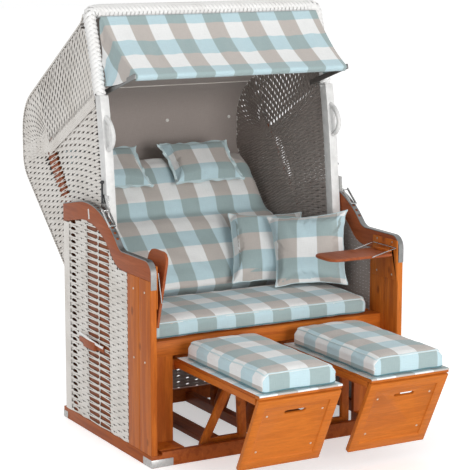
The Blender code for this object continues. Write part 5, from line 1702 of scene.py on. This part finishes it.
@dataclass
class Pillow:
    """A loose pillow with a flange or a corded seam, between four corners."""

    node: str
    name: str
    body: str
    corners: tuple[Point, Point, Point, Point]
    flange: float
    draw: float = 0.055
    frill: float = 0.0042
    rings: tuple[float, ...] = (-0.35, 0.2, 0.62, 1.0)

    def at(self, a: float, b: float) -> Vector:
        """The point of the pillow's middle surface at shares across and up."""
        low = Vector(self.corners[0]).lerp(Vector(self.corners[1]), a)
        return low.lerp(Vector(self.corners[2]).lerp(Vector(self.corners[3]), a), b)

    def edge(self, count: int) -> list[tuple[Vector, Vector]]:
        """Points round the middle surface's edge, each with its outward direction."""
        quarter = count // 4
        made: list[tuple[Vector, Vector]] = []
        for side in range(4):
            for step in range(quarter):
                t = step / quarter
                a, b = ((t, 0.0), (1.0, t), (1 - t, 1.0), (0.0, 1 - t))[side]
                point = self.at(a, b).lerp(self.at(0.5, 0.5), self.draw * math.sin(math.pi * t))
                made.append((point, (self.at(a * 1.1 - 0.05, b * 1.1 - 0.05) - self.at(a, b)).normalized()))
        return made

    def rim(self, thing: bpy.types.Object) -> None:
        """The flange or cord round the pillow.

        Args:
            thing: the pillow.
        """
        edge = self.edge(224)
        if not self.flange:
            loop = ridge_loop(thing, [point + out * 0.01 for point, out in edge], 0.0)
            cord = tube(f"{self.name}_seam", loop, 0.0022, closed=True)
            Chart((0, 0, 0), (1, 0, 0), (0, 0, 1)).lay(cord)
            dress(cord, PIPING, self.body, 80)
            return
        face = (self.at(1, 0.5) - self.at(0, 0.5)).cross(self.at(0.5, 1) - self.at(0.5, 0)).normalized()
        rings: list[list[Vector]] = [[] for _ in self.rings]
        for k, (point, out) in enumerate(edge):
            found, place, _, _ = thing.closest_point_on_mesh(point + out * 0.02)
            seat = place if found else point
            wave = math.sin(k * 0.56 + 1.3 * math.sin(k * 0.17))
            for ring, share in zip(rings, self.rings):
                length = self.flange * (share + 0.10 * share * math.sin(k * 0.41))
                ring.append(seat + out * length + face * (wave * self.frill * max(share, 0)))
        wide = len(edge)
        points = np.array([p[:] for ring in rings for p in ring])
        numbers = np.arange(len(points)).reshape(len(rings), wide)
        shift = np.roll(numbers, -1, axis=1)
        quads = np.stack([numbers[:-1], shift[:-1], shift[1:], numbers[1:]], axis=-1).reshape(-1, 4)
        frill = from_arrays(f"{self.name}_flange", points, quads)
        apply(frill, "SOLIDIFY", thickness=0.0016, offset=0.0)
        Chart((0, 0, 0), (1, 0, 0), (0, 0, 1)).lay(frill)
        dress(frill, PIPING, self.body, 80)

    def build(self) -> None:
        """Make the pillow and its rim."""
        form = SoftForm(0.006, 0.002, cap=0.010, fill=0.65, wrinkle=0.0018, pressure=5.0)
        thing = form.make(self.node, self.name)
        across = (self.at(1, 0.5) - self.at(0, 0.5)).normalized()
        up = self.at(0.5, 1) - self.at(0.5, 0)
        up = (up - across * up.dot(across)).normalized()
        Chart(self.at(0.5, 0.5), across, up, 0.02).lay(thing)
        self.rim(thing)
        dress(thing, CHECK, self.body, 80)


def head_corners(x: float) -> tuple[Point, ...]:
    """Low and high corners of a head pillow that leans back on the cushion's slope."""
    lean = math.radians(BACK_LEAN)
    rise = Vector((0, math.sin(lean), math.cos(lean))) * 0.245 / 2
    half = Vector((0.340 / 2, 0, 0))
    middle = Vector((x, 0.6028, 0.9805))
    return (middle - half - rise, middle + half - rise, middle - half + rise, middle + half + rise)


def slumped_corners(shares: Point, offs: Sequence[Point]) -> tuple[Point, ...]:
    """Corners of a pillow that slumps on the seat, from shares across and depth and lift."""
    return tuple(Vector((s * 0.533, 0.165 + y, 0.5288 + z)) for s, (y, z) in zip(shares, offs))


PILLOWS: tuple[Pillow, ...] = (
    Pillow("head_pillow_left", "head_rest_left", "hood", head_corners(-0.25), 0.013),
    Pillow("head_pillow_right", "head_rest_right", "hood", head_corners(0.19), 0.013),
    Pillow("throw_pillow_left", "seat_pillow_left", "base", slumped_corners(
        (0.1426, 0.7711, 0.3302, 0.9156),
        ((-0.02, -0.001), (-0.153, -0.001), (0.201, 0.271), (0.078, 0.271))), 0.0),
    Pillow("throw_pillow_right", "seat_pillow_right", "base", slumped_corners(
        (0.3752, 0.9287, 0.5347, 0.9381),
        ((-0.165, 0.0005), (-0.28, 0.0005), (0.05, 0.2655), (-0.255, 0.3255))), 0.0),
)


@dataclass
class Awning:
    """Check cloth over the swing frame, hemmed over its bar, with folded gussets at both ends."""

    top: tuple[float, float] = (0.163, 1.6335)
    bar: tuple[float, float] = (-0.101, 1.430)
    post_corner: tuple[float, float] = (0.104, 1.378)
    gusset_sag: float = 0.012
    top_half: float = 0.486
    bar_half: float = 0.4665
    lift: float = 0.0110
    sag: float = 0.020
    columns: int = 160
    rows: int = 40
    start: tuple[float, float] = (0.087, 0.0795)
    hem: tuple[tuple[float, float], ...] = ((0.4, 1.0), (0.85, 0.78), (1.0, 0.2), (0.95, -0.5), (0.9, -1.1))
    post_half: float = 0.503
    gusset_rows: int = 22
    gusset_turn: float = 0.5
    drop: float = 0.335
    hem_long: float = 0.040
    gusset_wide: float = 0.20

    def panel(self) -> tuple[np.ndarray, np.ndarray]:
        """Points and chart of the main panel, hem included, row by row from the top."""
        top, bar = np.array(self.top), np.array(self.bar)
        run = bar - top
        length = float(np.linalg.norm(run))
        along = run / length
        out = np.array([along[1], -along[0]])
        points: list[list[Point]] = []
        chart: list[list[Point]] = []
        for row in range(self.rows + 1 + len(self.hem)):
            share = min(row / self.rows, 1.0)
            half = self.top_half + (self.bar_half - self.top_half) * share
            over = row - self.rows
            line: list[Point] = []
            laid: list[Point] = []
            for column in range(self.columns + 1):
                t = 2 * column / self.columns - 1
                pull = 0.0028 * math.cos(t * 15.0 + 0.6 * math.sin(t * 7)) * math.sin(math.pi * share) ** 0.8
                pull += 0.0016 * math.sin(t * 44 + share * 5) * math.sin(math.pi * share)
                sink = self.lift - 4 * self.sag * share * (1 - share) * (1 - 0.35 * abs(t) ** 3) + pull
                if over > 0:
                    a, b = self.hem[over - 1]
                    place = bar + along * a * self.lift + out * b * self.lift
                    far = length + 0.008 * over
                else:
                    place = top + run * share + out * sink
                    far = length * share
                line.append((t * half, *place))
                laid.append((t * half, far))
            points.append(line)
            chart.append(laid)
        return np.array(points), np.array(chart)

    def gusset(self, side: int, edge: np.ndarray) -> tuple[np.ndarray, np.ndarray]:
        """Points and chart of one folded end, from the panel's edge to its own lower edge.

        Args:
            side: -1 or 1.
            edge: the panel's edge line, top to bar.

        Returns:
            Points and chart, row by row outwards from the edge.
        """
        steps, turn = self.gusset_rows, self.gusset_turn
        top, last = edge[0], edge[-1]
        post = np.array([side * self.post_half, *self.post_corner])
        points: list[list[Point]] = []
        chart: list[list[Point]] = []
        for row in range(steps + 1):
            t = row / steps
            line: list[Point] = []
            laid: list[Point] = []
            for k, place in enumerate(edge):
                share = k / (len(edge) - 1)
                if share < turn:
                    low = top + (post - top) * (share / turn)
                    low[0] = top[0] + (post[0] - top[0]) * (share / turn) ** 0.25
                else:
                    part = (share - turn) / (1 - turn)
                    low = post + (last - post) * part
                    low = low - np.array([0.0, 0.0, self.gusset_sag * math.sin(math.pi * part)])
                point = place + (low - place) * t
                fold = math.sin(share * 19 + t * 3.0) * 0.0060 + math.sin(share * 8 - t * 5.5) * 0.0050
                fold *= t * (1 - 0.45 * t) * math.sin(math.pi * min(share * 1.1, 1.0)) * 1.9
                line.append((point[0] - side * (0.002 * t + abs(fold)), point[1], point[2]))
                laid.append((place[0] + side * float(np.linalg.norm(low - place)) * t, share * self.drop))
            points.append(line)
            chart.append(laid)
        return np.array(points), np.array(chart)

    def build(self) -> None:
        main, main_chart = self.panel()
        parts = [(main, main_chart)]
        for side, column in ((-1, 0), (1, self.columns)):
            parts.append(self.gusset(side, main[:self.rows + 1, column]))
        points, chart, quads, base = [], [], [], 0
        for grid, laid in parts:
            rows, wide = grid.shape[:2]
            quads.append(grid_quads(rows, wide, base))
            points.append(grid.reshape(-1, 3))
            chart.append(laid.reshape(-1, 2))
            base += rows * wide
        places, laid = np.concatenate(points), np.concatenate(chart)
        thing = from_arrays("awning_sheet", places, np.concatenate(quads))
        layer = thing.data.uv_layers.new(name="cloth")
        for loop in thing.data.loops:
            u, v = laid[loop.vertex_index]
            layer.data[loop.index].uv = (u + self.start[0], v + self.start[1])
        with editing(thing):
            bpy.ops.mesh.remove_doubles(threshold=0.0001)
            bpy.ops.mesh.normals_make_consistent(inside=False)
        apply(thing, "SOLIDIFY", thickness=0.0012, offset=0.0)
        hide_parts("awning_cloth")
        thing.data.materials.append(material_of(CHECK))
        pick(thing)
        bpy.ops.object.shade_smooth()
        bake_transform(thing)


# Timber and metal


@dataclass
class Timber:
    """Every rigid frame node, most with broken edges, each with the finish and grain that it has."""

    plan: tuple[tuple[str, WoodFinish | MetalFinish, str, float], ...] = (
        ("floor_frame", TIMBER_LOW, "dark_wood", 0.003), ("centre_truss", TIMBER_LOW, "dark_wood", 0.002),
        ("front_boards", TIMBER_UP, "wood", 0.0025), ("cheek_board", TIMBER_UP, "wood", 0.002),
        ("arm", TIMBER_ARM, "arm_wood", 0.004), ("side_frame", TIMBER_UP, "wood", 0.0015),
        ("rear_panel", TIMBER_WIDE, "wood", 0.002), ("seat_frame", TIMBER_WIDE, "wood", 0.002),
        ("footrest_guide", TIMBER_LOW, "dark_wood", 0.0015), ("footrest_frame", TIMBER_LONG, "wood", 0.002),
        ("footrest_deck", TIMBER_LONG, "wood", 0.002), ("footrest_panel", TIMBER_PANEL, "wood", 0.0022),
        ("footrest_leg", TIMBER_UP, "wood", 0.002), ("table_board", TIMBER_ARM, "wood", 0.0025),
        ("table_bracket", TIMBER_UP, "wood", 0.0015), ("side_handle", TIMBER_ARM, "arm_wood", 0.002),
        ("arm_rail", RAIL, "rail_steel", 0.0), ("hood_frame", WHITE_PAINT, "white_metal", 0.002),
        ("hood_pivot", RAIL, "rail_steel", 0.001), ("lock_bracket", CHROME, "chrome", 0.0008),
        ("lock_bail", CHROME, "chrome", 0.0008), ("pull_rod", BLACK_PAINT, "black_metal", 0.0),
        ("table_wire", CHROME, "chrome", 0.0), ("awning_frame", WHITE_PAINT, "white_metal", 0.001),
    )
    cuts: dict[str, tuple[float, bool]] = field(
        default_factory=lambda: {"hood_frame": (1.345, False), "rear_panel": (0.3254, True)})
    awning_hinge: float = 0.4695

    def build(self) -> None:
        """Dress each node's copy."""
        for stem, finish, slot, width in self.plan:
            for node in (stem, f"{stem}_left", f"{stem}_right"):
                if node not in frame["nodes"]:
                    continue
                thing = own_copy(node, f"{node}_dressed")
                if stem in self.cuts:
                    self.cut(thing, *self.cuts[stem])
                    break_edges(thing, 0.003, 3)
                elif width:
                    break_edges(thing, width)
                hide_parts(node)
                dress(thing, finish, body_of(node), 38)
                if stem == "awning_frame":
                    thing.data.materials.append(material_of(RAIL))
                    for face in thing.data.polygons:
                        face.material_index = int(abs(face.center.x) > self.awning_hinge)
                if stem == "side_frame":
                    side = 1 if node.endswith("right") else -1
                    # Inward faces: the woven lining, its pale specks painted light.
                    shaded(thing, SIDE_LINING, -side, 0.9)
                    # Outward faces: painted shade on the wood behind the wall's slots.
                    shaded(thing, TIMBER_PAINTED_SHADE, side, 0.9)

    def cut(self, thing: bpy.types.Object, level: float, upper: bool) -> None:
        """Cut a piece off at a height, where a braid or a weave takes over.

        Args:
            thing: the piece.
            level: height of the cut.
            upper: whether the part above the cut is kept.
        """
        with editing(thing):
            bpy.ops.mesh.bisect(plane_co=(0, 0, level), plane_no=(0, 0, 1), use_fill=True,
                                clear_outer=not upper, clear_inner=upper, threshold=0.00001)


@dataclass
class Fasteners:
    """Screws, corner plates, the arm's small plate and the straps of the carrying handles."""

    head: float = 0.0042
    proud: float = 0.0016
    wall: float = 0.558
    table_wall: float = 0.5277
    board_screws: tuple[tuple[float, float], ...] = (
        (-0.351, 0.396), (-0.258, 0.396), (-0.351, 0.660), (-0.258, 0.660))
    plate_screws: tuple[tuple[float, float], ...] = (
        (-0.366, 0.624), (-0.260, 0.624), (-0.366, 0.754), (-0.260, 0.754))
    panel_low: Point = (0, -0.761, 0.080)
    panel_high: Point = (0, -0.911, 0.370)
    panel_middle: float = 0.233
    panel_face: float = 0.0122
    zinc: float = 0.5592
    rivets: tuple[tuple[float, float], ...] = ((-0.385, 0.016), (-0.350, 0.016), (0.381, 0.015))
    strap_half: float = 0.0055

    def screw(self, seat: Point, axis: Point) -> bpy.types.Object:
        """One domed screw head."""
        return turned("head", seat, axis, self.head, self.proud, 12)

    def screws(self) -> None:
        """Screw heads on the boards, the table plates and the footrest panels."""
        made: dict[str, list[bpy.types.Object]] = {"base": [], "footrest_left": [], "footrest_right": []}
        low, high = Vector(self.panel_low), Vector(self.panel_high)
        up = (high - low).normalized()
        out = Vector((0, -up.z, up.y))
        for name, side in SIDES:
            made["base"] += [self.screw((side * self.wall, y, z), (side, 0, 0)) for y, z in self.board_screws]
            made["base"] += [self.screw((side * self.table_wall, y, z), (-side, 0, 0))
                             for y, z in self.plate_screws]
            for dx in (-0.115, 0.115):
                for share in (0.24, 0.76):
                    seat = low + (high - low) * share + out * self.panel_face
                    seat += Vector((side * self.panel_middle + dx, 0, 0))
                    made[f"footrest_{name}"].append(self.screw(seat, out))
        for body, heads in made.items():
            dress(merged(heads, f"screw_heads_{body}"), SCREW, body)

    def plate(self, name: str, middle: Point, sizes: Point, lean: float = 0.0) -> bpy.types.Object:
        """A thin plate with eased edges.

        Args:
            name: its name.
            middle: its middle.
            sizes: its three sizes.
            lean: its turn about the x axis, in degrees.

        Returns:
            The plate, with its place in its mesh.
        """
        thing = primitive("cube", name, size=1)
        thing.data.transform(Matrix.Diagonal((*sizes, 1.0)))
        turn = Matrix.Rotation(math.radians(lean), 4, "X")
        thing.data.transform(Matrix.Translation(Vector(middle)) @ turn)
        apply(thing, "BEVEL", width=0.0004, segments=2)
        return thing

    def corner_plates(self) -> None:
        """Zinc plates bent round the base's front corners, and the caps of the skids' rear ends."""
        for name, side in SIDES:
            pieces: list[bpy.types.Object] = []
            for low, high in (((self.wall - 0.0005, -0.4012, 0.001), (self.zinc, -0.330, 0.031)),
                              ((0.468, -0.4016, 0.001), (self.zinc, -0.4002, 0.031)),
                              ((self.wall - 0.0005, 0.362, 0.001), (self.zinc, 0.4012, 0.029))):
                middle = [(a + b) / 2 for a, b in zip(low, high)]
                pieces.append(self.plate("plate", (side * middle[0], *middle[1:]), np.subtract(high, low)))
            for y, z in self.rivets:
                pieces.append(turned("rivet", (side * self.zinc, y, z), (side, 0, 0), 0.003, 0.0012, 12))
            dress(merged(pieces, f"corner_plates_{name}"), ZINC, "base")

    def strap(self, side: int, name: str) -> None:
        """The webbing strap of one carrying handle, sagging from its two ends over the grip."""
        share = np.linspace(0, 1, 30)
        ys = np.linspace(0.232, 0.008, 30)
        level = 0.392 - 0.020 * share + 0.004 * np.sin(share * math.pi)
        out = 0.5590 + 0.0125 * np.sin(share * math.pi) ** 0.5
        wing = np.array([0.0, 0.0, self.strap_half])
        places = np.column_stack([side * out, ys, level])
        webbing = Strand(places, wing, -wing, np.array([side, 0.0, 0.0]), 0.0015)
        woven(f"strap_{name}", [webbing], BRAID_WHITE, "base")

    def arm_plates(self) -> None:
        """The small pale plate let into the outer face of each arm."""
        for name, side in SIDES:
            plate = self.plate(f"arm_plate_{name}", (side * 0.5583, 0.132, 0.882), (0.0012, 0.010, 0.040), -8)
            dress(plate, BUTTON, "base")

    def build(self) -> None:
        """Make every small fitting."""
        self.screws()
        self.corner_plates()
        self.arm_plates()
        for name, side in SIDES:
            self.strap(side, name)


# Studio


@dataclass
class Studio:
    """Pale floor, soft lamps and the camera at the photograph's angle."""

    eye: tuple[float, float, float] = (-3.3588, -6.0206, 2.0261)
    right: tuple[float, float, float] = (0.87218, -0.48919, 0.00132)
    up: tuple[float, float, float] = (0.08648, 0.15684, 0.98383)
    forward: tuple[float, float, float] = (0.48149, 0.85796, -0.17909)
    lens: float = 134.6
    sensor: float = 36.0
    ambient: float = 0.68
    floor_glow: float = 0.45
    aim: Point = (0, 0.1, 0.7)

    def camera(self) -> None:
        """Place the camera."""
        data = bpy.data.cameras.new("camera")
        data.lens = self.lens
        data.sensor_width = self.sensor
        data.clip_end = 100
        thing = linked("camera", data)
        turn = Matrix([Vector(self.right), Vector(self.up), -Vector(self.forward)]).transposed().to_4x4()
        thing.matrix_world = Matrix.Translation(Vector(self.eye)) @ turn
        bpy.context.scene.camera = thing

    def lamp(self, name: str, place: Point, size: float, power: float, colour: Colour = (1, 1, 1)) -> None:
        """A square soft lamp that faces the chair.

        Args:
            name: name of the lamp.
            place: where it stands.
            size: length of its side.
            power: its power in watts.
            colour: its colour.
        """
        data = bpy.data.lights.new(name, "AREA")
        data.size = size
        data.energy = power
        data.color = colour
        turn = (Vector(self.aim) - Vector(place)).to_track_quat("-Z", "Y").to_matrix().to_4x4()
        linked(name, data).matrix_world = Matrix.Translation(Vector(place)) @ turn

    def shown_white(self, nodes: Nodes) -> bpy.types.NodeSocket:
        """1 for camera, glossy and transmission rays."""
        rays = nodes.add("LightPath").outputs
        mirrored = nodes.maths("MAXIMUM", rays["Is Camera Ray"], rays["Is Glossy Ray"])
        return nodes.maths("MAXIMUM", mirrored, rays["Is Transmission Ray"])

    def world(self) -> None:
        """White surroundings that light the chair at a plain level."""
        world = bpy.data.worlds.new("surroundings")
        world.use_nodes = True
        world.node_tree.nodes.clear()
        nodes = Nodes(world.node_tree)
        lit, shown = (nodes.add("Background", Color=(1, 1, 1, 1), Strength=level).outputs[0]
                      for level in (self.ambient, 1.0))
        mix = nodes.add("MixShader", i0=self.shown_white(nodes), i1=lit, i2=shown)
        nodes.add("OutputWorld", i0=mix.outputs[0])
        bpy.context.scene.world = world

    def floor(self) -> None:
        """A wide pale floor that keeps the chair's shadow."""
        thing = primitive("plane", "studio_floor", size=60)
        thing.data.transform(Matrix.Translation((0, 0, -0.0005)))
        recipe = Recipe("floor_paint")
        glow = recipe.maths("MULTIPLY", self.shown_white(recipe), self.floor_glow)
        thing.data.materials.append(recipe.surface(
            (0.88, 0.88, 0.88), 0.9, Emission_Color=(1, 1, 1, 1), Emission_Strength=glow))

    def build(self) -> None:
        """Set up the studio."""
        self.camera()
        self.world()
        self.floor()
        self.lamp("key_lamp", (0.4, -8.0, 1.9), 3.0, 300, (1.0, 0.99, 0.975))
        self.lamp("fill_lamp", (-5.5, -4.0, 2.8), 3.5, 50, (0.98, 0.99, 1.0))
        self.lamp("back_lamp", (-2.0, 5.0, 4.5), 3.0, 45)
        bpy.context.scene.view_settings.view_transform = "Standard"


def main() -> None:
    """Build the chair piece by piece."""
    logging.basicConfig(level=logging.INFO, format="%(message)s")
    Studio().build()
    for name, side in SIDES:
        SideWall(side, name).build()
        HoodWall(side, name).build()
    RearWall().build()
    HoodShell().build()
    ShellLining().build()
    BraidedEdge().build()
    Timber().build()
    Fasteners().build()
    BoxCushions().build()
    BackCushion().build()
    for pillow in PILLOWS:
        pillow.build()
    Awning().build()
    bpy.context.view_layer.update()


if __name__ == "__main__":
    main()
